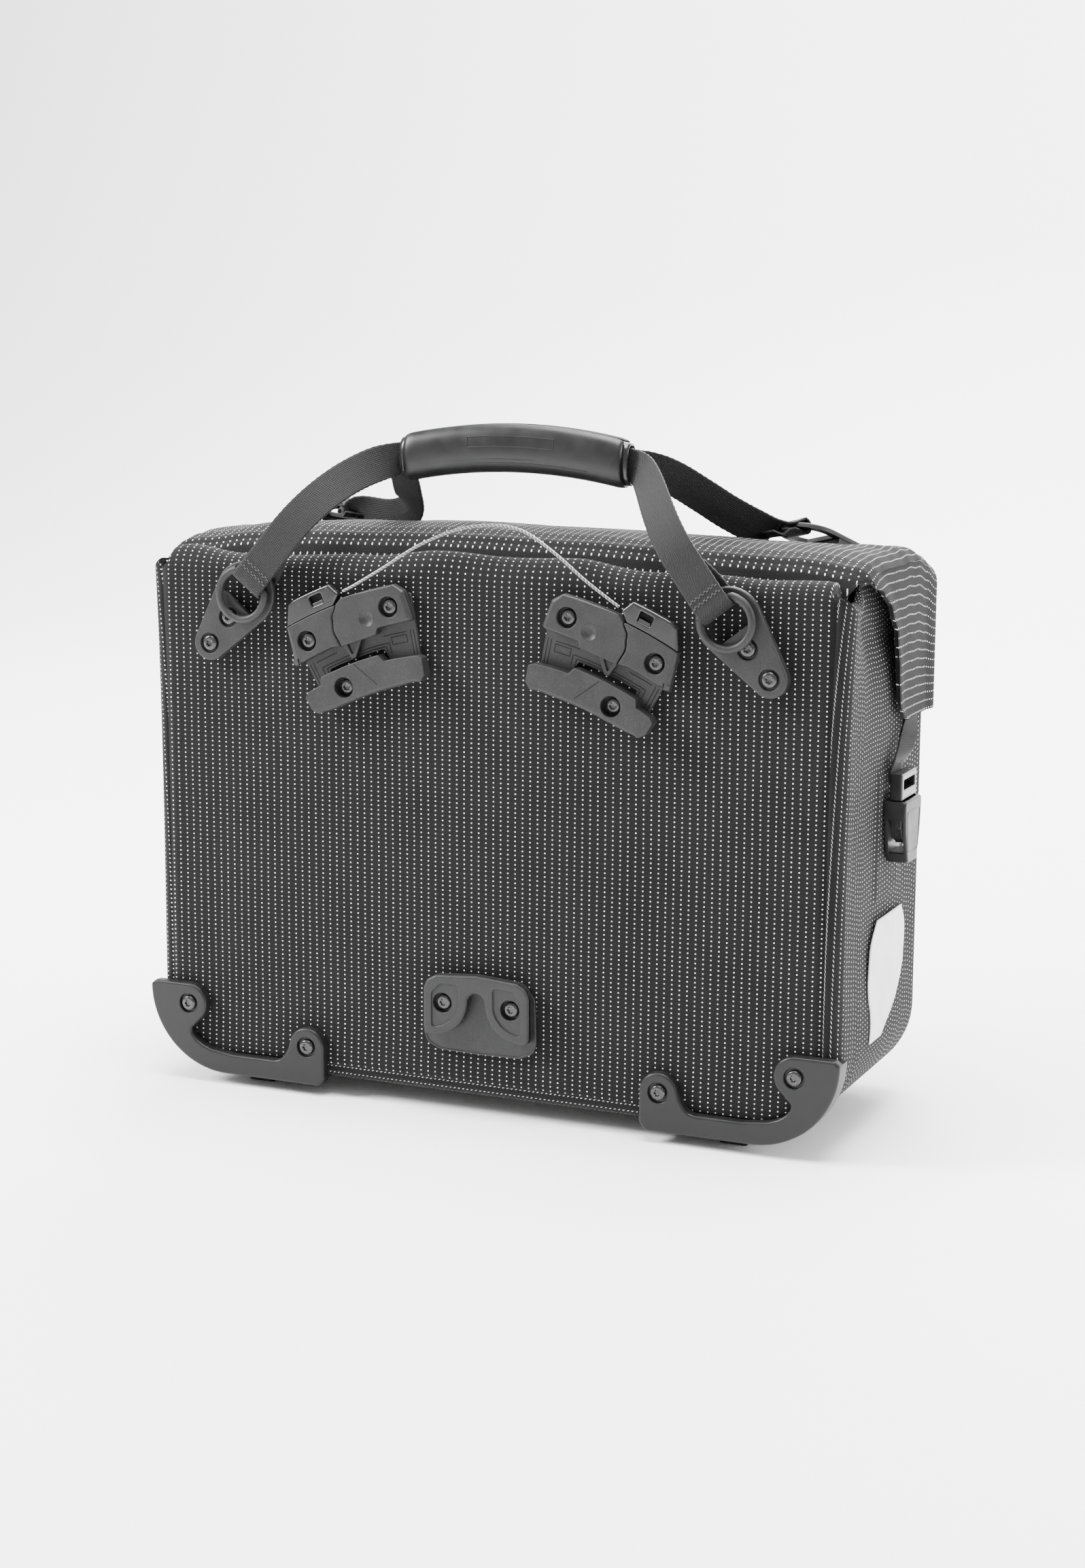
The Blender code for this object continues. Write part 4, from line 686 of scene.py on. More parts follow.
    def groove(self, points: list[Flat], height: float, place: Matrix = BACK, closed: bool = False,
               width: float = 0.00028, finish: int = 1) -> "Piece":
        """A narrow line sunk in a face, width being half of its own, near black by default as painted shade in the
        groove.
        """
        line = [Vector((x, z, height)) for x, z in points]
        return self.tube(line, width, 6, closed, place, finish, 0.35, UPWARD)

    def grid(self, rows: list[list[tuple]], cloth: list[list[Flat]] | None = None) -> "Piece":
        """A sheet of quads through rows of points, with its cloth coordinates in metres.

        Args:
            rows: Rows of points.
            cloth: Cloth coordinates of the same points, measured over the sheet when left out.

        Returns:
            The piece.
        """
        cloth = cloth or measured(rows)
        made = [[self.bm.verts.new(point) for point in row] for row in rows]
        for i in range(len(rows) - 1):
            for j in range(len(rows[0]) - 1):
                spots = ((i, j), (i, j + 1), (i + 1, j + 1), (i + 1, j))
                face = self.bm.faces.new([made[a][b] for a, b in spots])
                face.smooth = True
                for loop, (a, b) in zip(face.loops, spots):
                    loop[self.layer].uv = cloth[a][b]
        return self

    def sheet(self, thickness: float, offset: float = -1.0) -> "Piece":
        """Weld the grids, turn them outwards and give them a wall."""
        bmesh.ops.remove_doubles(self.bm, verts=self.bm.verts, dist=0.00001)
        bmesh.ops.recalc_face_normals(self.bm, faces=self.bm.faces)
        middle = sum((vert.co for vert in self.bm.verts), Vector()) / len(self.bm.verts)
        out = sum((f.calc_center_median() - middle).dot(f.normal) * f.calc_area() for f in self.bm.faces)
        if out < 0:
            bmesh.ops.reverse_faces(self.bm, faces=self.bm.faces)
        self.wall = (thickness, offset)
        return self

    def done(self, slot: Slot, *nodes: str, body: str = "bag", sharp: float = 32.0) -> bpy.types.Object:
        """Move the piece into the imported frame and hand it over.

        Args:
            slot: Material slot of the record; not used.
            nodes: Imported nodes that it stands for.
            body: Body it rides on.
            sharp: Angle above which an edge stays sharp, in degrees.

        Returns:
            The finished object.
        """
        bmesh.ops.translate(self.bm, verts=self.bm.verts, vec=TO_FRAME)
        mesh = bpy.data.meshes.new(self.name)
        self.bm.to_mesh(mesh)
        self.bm.free()
        for finish in self.finishes:
            mesh.materials.append(material_of(finish))
        mesh.set_sharp_from_angle(angle=math.radians(sharp))
        made = bpy.data.objects.new(self.name, mesh)
        bpy.context.scene.collection.objects.link(made)
        if self.wall:
            wall = made.modifiers.new("wall", "SOLIDIFY")
            wall.thickness, wall.offset = self.wall
        else:
            even = made.modifiers.new("even", "WEIGHTED_NORMAL")
            even.keep_sharp = True
            even.weight = 100
        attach(made, body)
        if nodes:
            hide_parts(*nodes)
        LOG.info("%s: %d faces, for %s", self.name, len(mesh.polygons), ", ".join(nodes) or "detail")
        return made


def measured(rows: list[list[tuple]]) -> list[list[Flat]]:
    """Lengths over a sheet: across each row from its middle, and down each column."""
    middle = len(rows[0]) // 2
    down = [0.0] * len(rows[0])
    result = []
    for i, row in enumerate(rows):
        if i:
            down = [d + (Vector(a) - Vector(b)).length for d, a, b in zip(down, row, rows[i - 1])]
        run = [0.0]
        for a, b in zip(row, row[1:]):
            run.append(run[-1] + (Vector(b) - Vector(a)).length)
        result.append([(r - run[middle], d) for r, d in zip(run, down)])
    return result


def ripple(point: Vector, size: float, seed: float) -> float:
    """Soft noise between nothing and one at a place, size being the width of its waves."""
    return 0.5 + 0.5 * noise.noise(point / size + Vector((seed, seed * 0.7, -seed)))


@dataclass(frozen=True)
class Lamp:
    """A square soft box and the place it is aimed at."""

    name: str
    spot: Spot
    power: float
    size: float
    aim: Spot = (0.0, 0.0, 0.2)

    def build(self) -> None:
        """Hang the lamp."""
        light = bpy.data.lights.new(self.name, "AREA")
        light.energy, light.shape, light.size = self.power, "SQUARE", self.size
        lamp = bpy.data.objects.new(self.name, light)
        lamp.location = self.spot
        lamp.rotation_euler = (Vector(self.aim) - Vector(self.spot)).to_track_quat("-Z", "Y").to_euler()
        bpy.context.scene.collection.objects.link(lamp)


LAMPS = (Lamp("key_box", (-1.9, -0.9, 1.5), 150.0, 0.8), Lamp("top_box", (0.1, -0.1, 2.3), 190.0, 1.4),
         Lamp("side_box", (2.1, 0.2, 0.9), 45.0, 0.9), Lamp("front_box", (-0.4, 2.0, 1.6), 60.0, 1.2),
         Lamp("wall_box", (0.0, 1.2, 2.9), 260.0, 1.6, (0.0, 3.2, 1.6)))


@dataclass
class Studio:
    """Pale floor, soft light and the camera."""

    target: Spot = (0.03917, -0.08097, 0.19448)
    distance: float = 1.52557
    azimuth: float = 23.6
    elevation: float = 10.5
    roll: float = 0.30
    lens: float = 64.45
    surround: float = 0.9
    bend: float = 1.6

    def build(self) -> None:
        """Make the floor, the lights and the camera."""
        bend = self.bend
        line = [(-6.0, 0.0), (0.0, 0.0), (bend, 0.0)]
        line += [(bend + y, z) for y, z in arc((0.0, bend), bend, -84, 0, 14)] + [(2 * bend, 5.0)]
        floor = Piece("studio_floor").grid([[(x, y, z) for x in (-7, 0, 7)] for y, z in line])
        mesh = bpy.data.meshes.new("studio_floor")
        floor.bm.to_mesh(mesh)
        floor.bm.free()
        mesh.shade_smooth()
        mesh.materials.append(material_of(Backdrop()))
        board = bpy.data.objects.new("studio_floor", mesh)
        bpy.context.scene.collection.objects.link(board)
        self.lights()
        self.camera()

    def lights(self) -> None:
        """An even pale surround and the soft boxes."""
        world = bpy.data.worlds.new("studio")
        bpy.context.scene.world = world
        world.use_nodes = True
        even = world.node_tree.nodes["Background"].inputs
        even[0].default_value, even[1].default_value = grey(1.0), self.surround
        for lamp in LAMPS:
            lamp.build()

    def camera(self) -> None:
        """Camera at the photograph's angle."""
        turn, rise, roll = (math.radians(a) for a in (self.azimuth, self.elevation, self.roll))
        back = Vector((math.sin(turn) * math.cos(rise), -math.cos(turn) * math.cos(rise), math.sin(rise)))
        level = Vector((math.cos(turn), math.sin(turn), 0.0))
        above = level.cross(-back)
        right = level * math.cos(roll) + above * math.sin(roll)
        up = -level * math.sin(roll) + above * math.cos(roll)
        eye = bpy.data.objects.new("studio_camera", bpy.data.cameras.new("studio_camera"))
        eye.data.lens = self.lens
        eye.data.sensor_width = 36.0
        eye.data.sensor_fit = "AUTO"
        matrix = Matrix((right, up, back)).transposed().to_4x4()
        matrix.translation = Vector(self.target) + back * self.distance
        eye.matrix_world = matrix
        bpy.context.scene.collection.objects.link(eye)
        bpy.context.scene.camera = eye


@dataclass
class ScrewHead:
    """Button-head screw with a six-lobed drive, sunk in its pocket."""

    radius: float = 0.0045
    height: float = 0.0022
    pocket: float = 0.0058
    floor: float = 0.0040
    lobes: float = 0.0018

    def head(self, name: str, node: str, spot: Flat, place: Matrix = BACK) -> None:
        """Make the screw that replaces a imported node, at a place in a frame."""
        seat = self.floor + GAP
        turns = spread(0.0, 2 * math.pi, 49)[:-1]

        def ring(radius: float, height: float, star: float = 0.0) -> list[tuple]:
            points = []
            for t in turns:
                r = radius * (1 + star * math.cos(6 * t))
                points.append((spot[0] + r * math.cos(t), spot[1] + r * math.sin(t), seat + height))
            return points

        sink = self.height * 0.45
        rings = [ring(self.lobes * 0.25, sink), ring(self.lobes, sink + 0.0001, 0.16)]
        rings.append(ring(self.lobes * 1.02, self.height * 0.95, 0.16))
        rings.append(ring(self.lobes * 1.18, self.height, 0.05))
        for t in spread(0.12, 1.0, 8):
            lift = self.height * (0.22 + 0.78 * math.sqrt(max(0.0, 1 - t ** 2.6)))
            rings.append(ring(self.lobes * 1.18 + (self.radius - self.lobes * 1.18) * t, lift))
        rings.append(ring(self.radius, 0.0))
        Piece(name, SCREW).loft(rings, place).done(Slot.SCREW, node)

    def pocket_in(self, piece: Piece, spot: Flat, seat: float, place: Matrix = BACK) -> None:
        """Add the floor of a screw's pocket to a moulding."""
        piece.plate(circle(spot, self.pocket + 0.0004), seat, self.floor, 0.0001, place=place, steps=1)

    def fit(self, piece: Piece, seat: float, name: str, node: str, spot: Flat, place: Matrix = BACK) -> None:
        """Floor a pocket in a moulding and set its screw there."""
        self.pocket_in(piece, spot, seat, place)
        self.head(name, node, spot, place)

    def ring(self, spot: Flat) -> list[Flat]:
        """Outline of its pocket."""
        return circle(spot, self.pocket)


HEAD = ScrewHead()


@dataclass
class ClothBody:
    """Back panel, gusset and front of the bag."""

    half: float = BODY_HALF
    depth: float = 0.152
    bottom: float = BODY_BOTTOM
    top: float = 0.300
    corner: float = BODY_CORNER
    wall: float = 0.0012
    panel_inset: float = 0.0085
    panel_top: float = 0.3110
    fold: float = 0.0115
    fold_over: float = 118.0
    fold_end: float = 150.0
    fold_close: float = 0.007
    narrow_from: float = 0.2402
    front_edge: float = 0.012
    flare: float = 0.0026
    waves: tuple[Flat, ...] = (
        (-1.00, 0.02), (-0.90, 0.26), (-0.76, -0.08), (-0.60, -0.05), (-0.36, 0.12), (-0.15, 0.50), (0.05, 0.36),
        (0.26, 0.46), (0.43, 0.02), (0.64, 0.02), (0.76, -0.08), (0.88, -0.02), (1.00, 0.02))
    crease: tuple[Flat, ...] = ((0.0, 0.3050), (0.009, 0.3035), (0.030, 0.2880), (0.052, 0.2740), (0.152, 0.2780))

    def half_width(self, z: float, y: float = 0.0) -> float:
        """Half width of the body: flared at the top of the back, folded in under the lid."""
        flare = self.flare * max(0.0, (z - self.bottom - self.corner) / (self.top - self.bottom - self.corner)) ** 4
        fold = 0.012 * max(0.0, (z - self.narrow_from) / (self.top - self.narrow_from)) ** 1.5
        share = ease((y - 0.010) / 0.045)
        return self.half + flare * (1 - share) - fold * share

    def rim(self, y: float) -> float:
        """Height of the line where the gusset's top turns in under the lid."""
        return along(self.crease, y)

    def outline(self, reach: float, top: float, y: float, rows: int, steps: int, floor: int) -> list[Flat]:
        """The body's outline at a depth, down the left side, along the floor and up the right.

        Args:
            reach: Distance in from the outermost outline.
            top: Height of its ends.
            y: Depth in the bag.
            rows: Steps down each side.
            steps: Steps round each corner.
            floor: Points between the corners.

        Returns:
            The outline's points.
        """
        centre = (self.half - self.corner, self.bottom + self.corner)
        right = [(self.half_width(z, y) - reach, z) for z in spread(top, centre[1], rows + 1)[:-1]]
        right += arc(centre, self.corner - reach, 0, -90, steps)
        middle = [(x, self.bottom + reach) for x in spread(-centre[0], centre[0], floor + 2)[1:-1]]
        return mirrored(right, -1) + middle + right[::-1]

    def panel(self, ring: list[Flat], floor: int) -> list[list[Flat]]:
        """Rungs across a panel inside its outline, even in height in its middle."""
        side = (len(ring) - floor) // 2
        left, right = ring[:side], ring[:-side - 1:-1]
        rungs = []
        for step in range(side - 1):
            low, high = left[step], right[step]
            level = left[0][1] + (left[-1][1] - left[0][1]) * step / (side - 1)
            rung = []
            for i, x in enumerate(spread(low[0], high[0], floor + 2)):
                near = min(i, floor + 1 - i) / (floor + 1)
                rung.append((x, low[1] + (level - low[1]) * ease(near * 6)))
            rungs.append(rung)
        rungs.append([left[-1], *ring[side:-side], right[-1]])
        return rungs

    def build(self, lid: "Lid") -> None:
        """Make the back cloth and the body cloth, whose top turns in under the lid."""
        self.back()
        self.body(lid)

    def back(self) -> None:
        """Back panel with its waved fold at the top."""
        low_top = self.panel_top - self.fold
        floor = 86
        ring = self.outline(self.panel_inset, low_top, 0.0, 56, 16, floor)
        rungs = self.panel(ring, floor)[::-1]
        rows, cloth = [], []
        for rung in rungs:
            row = []
            for i, (x, z) in enumerate(rung):
                edge = min(i, len(rung) - 1 - i)
                dent = 0.0007 if edge == 0 or z < self.bottom + self.panel_inset + 0.0004 else 0.0
                row.append((x, dent + self.dent(x, z), z))
            rows.append(row)
            cloth.append([(x, z) for x, z in rung])
        last = rows[-1]
        for angle in spread(8, self.fold_end, 18):
            turn = math.radians(angle)
            row, patch = [], []
            for x, y, z in last:
                wave = self.fold * along(self.waves, x / self.half)
                end = max(0.0, abs(x) - (abs(last[0][0]) - self.fold_close)) / self.fold_close
                drop = 0.0050 * end ** 2
                shut = 1 - 0.80 * end ** 3
                past, rest = max(0.0, angle - self.fold_over), self.fold_end - self.fold_over
                rise = self.fold * math.sin(turn) if angle < self.fold_over else self.fold * 0.883 - 0.010 * past / rest
                rise *= shut
                depth = self.fold * (1 - math.cos(turn)) + 0.004 * past / rest
                depth *= shut
                soft = 0.0016 * (ripple(Vector((x, 0, 0)), 0.03, 5.0) - 0.5) * math.sin(turn)
                swell = (wave + soft) * shut * math.sin(turn) ** 2
                swell -= drop * (1 - 0.8 * end) * (angle / self.fold_end) ** 0.8
                row.append((x, y * math.cos(turn) ** 2 * (angle < 90) + depth, z + rise + swell))
                patch.append((x, z + self.fold * turn))
            rows.append(row)
            cloth.append(patch)
        Piece("back_cloth", CLOTH).grid(rows, cloth).sheet(self.wall).done(Slot.CLOTH, "back_panel", sharp=60)

    def dent(self, x: float, z: float) -> float:
        """How far the back cloth lies in from its plane at a place."""
        here = Vector((x, 0, z))
        broad = 0.0014 * ripple(here, 0.11, 1.0)
        fine = 0.0007 * ripple(Vector((x * 1.8, 0, z * 0.7)), 0.028, 2.0)
        edge = min(self.half - 0.010 - abs(x), z - self.bottom - 0.010)
        pull = 0.0011 * math.exp(-(((abs(x) - 0.190) / 0.006) ** 2)) * ripple(here, 0.06, 3.0)
        return (broad + fine) * ease(edge / 0.03) + pull

    def body(self, lid: "Lid") -> None:
        """Gusset with its rounded edges, and the front."""
        stations: list[Flat] = [(0.0016, self.panel_inset + 0.004), (0.0009, self.panel_inset + 0.0004)]
        for turn in (math.radians(a) for a in spread(6, 90, 8)):
            stations.append((0.0002 + 0.0106 * (1 - math.cos(turn)), self.panel_inset * (1 - math.sin(turn))))
        for y in spread(0.0108, self.depth - self.front_edge, 34)[1:-1]:
            stations.append((y, 0.0))
        for turn in (math.radians(a) for a in spread(0, 90, 8)):
            reach = self.front_edge * (1 - math.cos(turn))
            stations.append((self.depth - self.front_edge * (1 - math.sin(turn)), reach))
        floor = 60
        rows = []
        for y, reach in stations:
            turned = max(0.0, 1 - reach / self.panel_inset) ** 2 * ease((0.03 - y) / 0.02)
            ring = self.outline(reach, self.rim(y) - 0.007 * turned, y, 64, 16, floor)
            row = [self.gusset_point(x, y, z, reach) for x, z in ring]
            rows.append([*self.fold_in(row[0], lid)[::-1], *row, *self.fold_in(row[-1], lid)])
        cloth = [list(row) for row in zip(*measured([list(column) for column in zip(*rows)]))]
        piece = Piece("body_cloth", CLOTH).grid(rows, cloth)
        ring = self.outline(self.front_edge, self.rim(self.depth), self.depth, 64, 16, floor)
        rungs = self.panel(ring, floor)
        front, patch = [], []
        for rung in rungs:
            front.append([self.front_point(x, z, i in (0, len(rung) - 1)) for i, (x, z) in enumerate(rung)])
            patch.append([(x, z) for x, z in rung])
        piece.grid(front, patch).sheet(self.wall).done(Slot.CLOTH, "body_shell", sharp=60)

    def fold_in(self, point: tuple, lid: "Lid") -> list[tuple]:
        """Points of the cloth that turns in above the gusset, kept under the lid."""
        x, y, z = point
        side = math.copysign(1.0, x)
        away = ease((y - 0.026) / 0.008)
        room = 1.0 if y > 0.034 else max(0.04, (abs(x) - 0.2014) / 0.024) * (1 - away) + away
        result = []
        for inward, share in ((0.0005, 0.10), (0.0013, 0.26), (0.0022, 0.46), (0.0034, 0.66), (0.0052, 0.84),
                              (0.0085, 0.96), (0.0150, 1.0)):
            spot = x - side * inward * room
            roof = lid.skin(spot, max(y, 0.019)) - 0.0030
            if y < 0.027:
                roof = min(roof, 0.3065)
            rise = max(0.0, min(roof, 0.3160) - z) * (0.25 + 0.75 * ease(y / 0.012))
            bulge = 0.0020 * math.sin(math.pi * share) * ease((y - 0.008) / 0.02)
            result.append((spot + side * bulge, y + 0.003 * share * ease(y / 0.01), z + rise * share))
        return result

    def gusset_point(self, x: float, y: float, z: float, reach: float) -> tuple:
        """A point of the gusset, with soft hollows between its edges."""
        middle = math.sin(math.pi * min(1.0, max(0.0, y / self.depth)))
        hollow = (0.0016 * ripple(Vector((x, y, z)), 0.05, 4.0) + 0.0006) * middle * ease((z - 0.07) / 0.04)
        if 0.13 < z < 0.20 and 0.065 < y < 0.107:
            hollow *= 0.3
        return (x - math.copysign(hollow, x) * (reach == 0.0), y, z)

    def front_point(self, x: float, z: float, fixed: bool) -> tuple:
        """A point of the swelling front."""
        edge = self.half_width(z, self.depth) - self.front_edge
        drop = self.bottom + self.corner - z
        if drop > 0:
            edge = self.half - self.corner + math.sqrt(max(1e-9, (self.corner - self.front_edge) ** 2 - drop ** 2))
        floor = self.bottom + self.front_edge
        up = max(0.0, math.sin(math.pi * (z - floor) / (self.rim(self.depth) - floor)))
        across = 0.0 if fixed else max(0.0, 1 - (x / edge) ** 2)
        swell = (0.0025 - 0.0030 * ripple(Vector((x, 9.0, z)), 0.07, 6.0)) * min(1.0, across * up * 3)
        return (x, self.depth + swell, z)


@dataclass
class Lid:
    """Rolled lid with side wings and the flap down the front."""

    half: float = WING_FACE
    top: float = 0.3295
    front: float = 0.1575
    edge: float = 0.016
    rear: float = 0.018
    wing: float = WING_FOOT
    flap: float = 0.1900
    wall: float = 0.0014
    crown: tuple[Flat, ...] = (
        (0.000, 1.55), (0.012, 1.02), (0.035, 0.62), (0.085, 0.28), (0.170, 0.08), (0.280, 0.00), (0.420, 0.04),
        (0.560, 0.24), (0.700, 0.54), (0.830, 0.90), (0.930, 1.28), (1.000, 1.70))
    droop: tuple[Flat, ...] = (
        (-1.00, 0.90), (-0.90, 0.52), (-0.72, 0.26), (-0.50, 0.10), (-0.15, 0.00), (0.20, 0.05), (0.50, 0.16),
        (0.80, 0.26), (1.00, 0.50))
    wing_edge: tuple[Flat, ...] = (
        (0.00, 0.600), (0.06, 0.510), (0.14, 0.475), (0.35, 0.455), (0.60, 0.420), (0.78, 0.340), (0.90, 0.230),
        (1.00, 0.110))
    flap_edge: tuple[Flat, ...] = ((0.0, 0.96), (0.36, 0.96), (0.72, 0.86), (1.0, 0.62))

    def height(self, x: float, y: float) -> float:
        """Height of the lid's outer face."""
        place = (y - self.rear) / (self.front - self.rear)
        drop = along(self.crown, place) + along(self.droop, x / self.half)
        return self.top - self.edge * drop

    def skin(self, x: float, y: float) -> float:
        """Height of the cloth, fuller at its right front corner."""
        return self.height(x, y) + 0.0085 * ease((x - 0.160) / 0.040) * ease((y - 0.070) / 0.060)

    def round(self, x: float) -> float:
        """Radius of the lid's corner on that side."""
        return 0.0125 if x > 0 else self.edge

    def outline(self, y: float, wing_rows: int, steps: int, roof: int) -> list[Flat]:
        """The lid's outline at a depth, up the left wing, over the roof, down the right.

        Args:
            y: Depth in the bag.
            wing_rows: Steps up each wing.
            steps: Steps round each corner.
            roof: Points between the corners.

        Returns:
            The outline's points.
        """
        sides = []
        for side in (-1, 1):
            radius = self.round(side)
            inner = self.half - radius
            high = self.skin(side * inner, y) - radius
            points = [(side * self.half, z) for z in spread(self.wing, high, wing_rows + 1)[:-1]]
            points += [(side * x, z) for x, z in arc((inner, high), radius, 0, 90, steps)]
            sides.append(points)
        middle = [(x, self.skin(x, y)) for x in spread(self.round(-1) - self.half, inner, roof + 2)[1:-1]]
        return sides[0] + middle + sides[1][::-1]

    def build(self) -> None:
        """Make the lid cloth with its hem."""
        wing_rows, steps, roof = 26, 10, 90
        depth = self.front - self.edge * 0.5 - self.rear
        count = 2 * (wing_rows + steps + 1) + roof
        shares = [s ** 1.5 for s in spread(0.0, 1.0, 46)]
        rows = []
        for share in shares:
            row = []
            for i in range(count):
                step = min(i, count - 1 - i)
                if step < wing_rows:
                    start = along(self.wing_edge, step / wing_rows)
                else:
                    start = self.wing_edge[-1][1] * max(0.0, 1 - (step - wing_rows) / steps)
                start = self.rear + start * (self.front - self.rear)
                y = start + share * (self.rear + depth - start)
                x, z = self.outline(y, wing_rows, steps, roof)[i]
                row.append(self.soften(x, y, z, share))
            rows.append(row)
        last = self.outline(self.rear + depth, wing_rows, steps, roof)
        for angle in spread(12, 90, 6):
            turn = math.radians(angle)
            pull = self.edge * 0.5 * (1 - math.cos(turn))
            y = self.rear + depth + self.edge * 0.5 * math.sin(turn)
            rows.append([self.shrink(x, z, pull, y) for x, z in last])
        hem = []
        for reach, lift in ((0.0045, -0.0050), (0.0020, -0.0030), (0.0004, -0.0012)):
            hem.append([self.tuck(point, i, count, wing_rows, reach, lift) for i, point in enumerate(rows[0])])
        rows = hem + rows
        across = measured([last])[0]
        down = [0.0] * (len(rows) - 6) + [0.0010, 0.0024, 0.0038, 0.0052, 0.0066, 0.0080]
        cloth = [[(across[j][0], row[j][1] + far) for j in range(count)] for row, far in zip(rows, down)]
        piece = Piece("lid_cloth", CLOTH).grid(rows, cloth)
        rungs = self.flap_rungs(rows[-1], wing_rows + steps + 1, roof)
        piece.grid(rungs, [[(x, z) for x, _, z in rung] for rung in rungs])
        piece.sheet(self.wall).done(Slot.CLOTH, "lid", sharp=60)

    def flap_rungs(self, edge_row: list[tuple], side: int, roof: int) -> list[list[tuple]]:
        """Rungs across the flap, from its curved foot up to the roof's front edge.

        Args:
            edge_row: Last row of the roof and its wings.
            side: Points on each wing and its corner.
            roof: Points between the corners.

        Returns:
            The rungs.
        """
        left, right = edge_row[:side], edge_row[:-side - 1:-1]
        rungs = []
        for share in spread(1.0, 0.02, 16):
            width = along(self.flap_edge, share)
            z = self.wing + (self.flap - self.wing) * share
            rungs.append([(x * width, self.front, z) for x in spread(left[0][0], right[0][0], roof + 2)])
        top = [left[-1], *edge_row[side:-side], right[-1]]
        for low, high in zip(left[:-1], right[:-1]):
            shares = spread(*((point[2] - self.wing) / (end[2] - self.wing) for point, end in
                              ((low, left[-1]), (high, right[-1]))), roof + 2)
            rungs.append([(x, self.front, self.wing + (top[i][2] - self.wing) * shares[i])
                          for i, x in enumerate(spread(low[0], high[0], roof + 2))])
        return [*rungs, top]

    def soften(self, x: float, y: float, z: float, share: float) -> tuple:
        """Lay soft hollows into the roof and the wings."""
        here = Vector((x, y, z))
        dent = 0.0018 * ripple(here, 0.055, 7.0) + 0.0007 * ripple(here, 0.018, 8.0)
        dent *= ease(share * 5) * ease((1 - share) * 5)
        if abs(x) > self.half - 0.001:
            return (x - math.copysign(dent, x), y, z)
        return (x, y, z - dent)

    def shrink(self, x: float, z: float, pull: float, y: float) -> tuple:
        """Pull a point of the outline in towards its middle."""
        radius = self.round(x)
        across = min(1.0, max(0.0, (abs(x) - self.half + radius) / radius))
        return (x - math.copysign(pull * across, x), y, z - pull * math.sqrt(1 - across * across))

    def tuck(self, point: tuple, i: int, count: int, wing_rows: int, reach: float, lift: float) -> tuple:
        """Turn the rear edge in under itself as a hem."""
        x, y, z = point
        step = min(i, count - 1 - i)
        if step < wing_rows:
            return (x - math.copysign(reach * 0.6, x), y + reach * 0.2, z)
        return (x - math.copysign(reach * 0.3, x), y + reach, z + lift * 0.6)


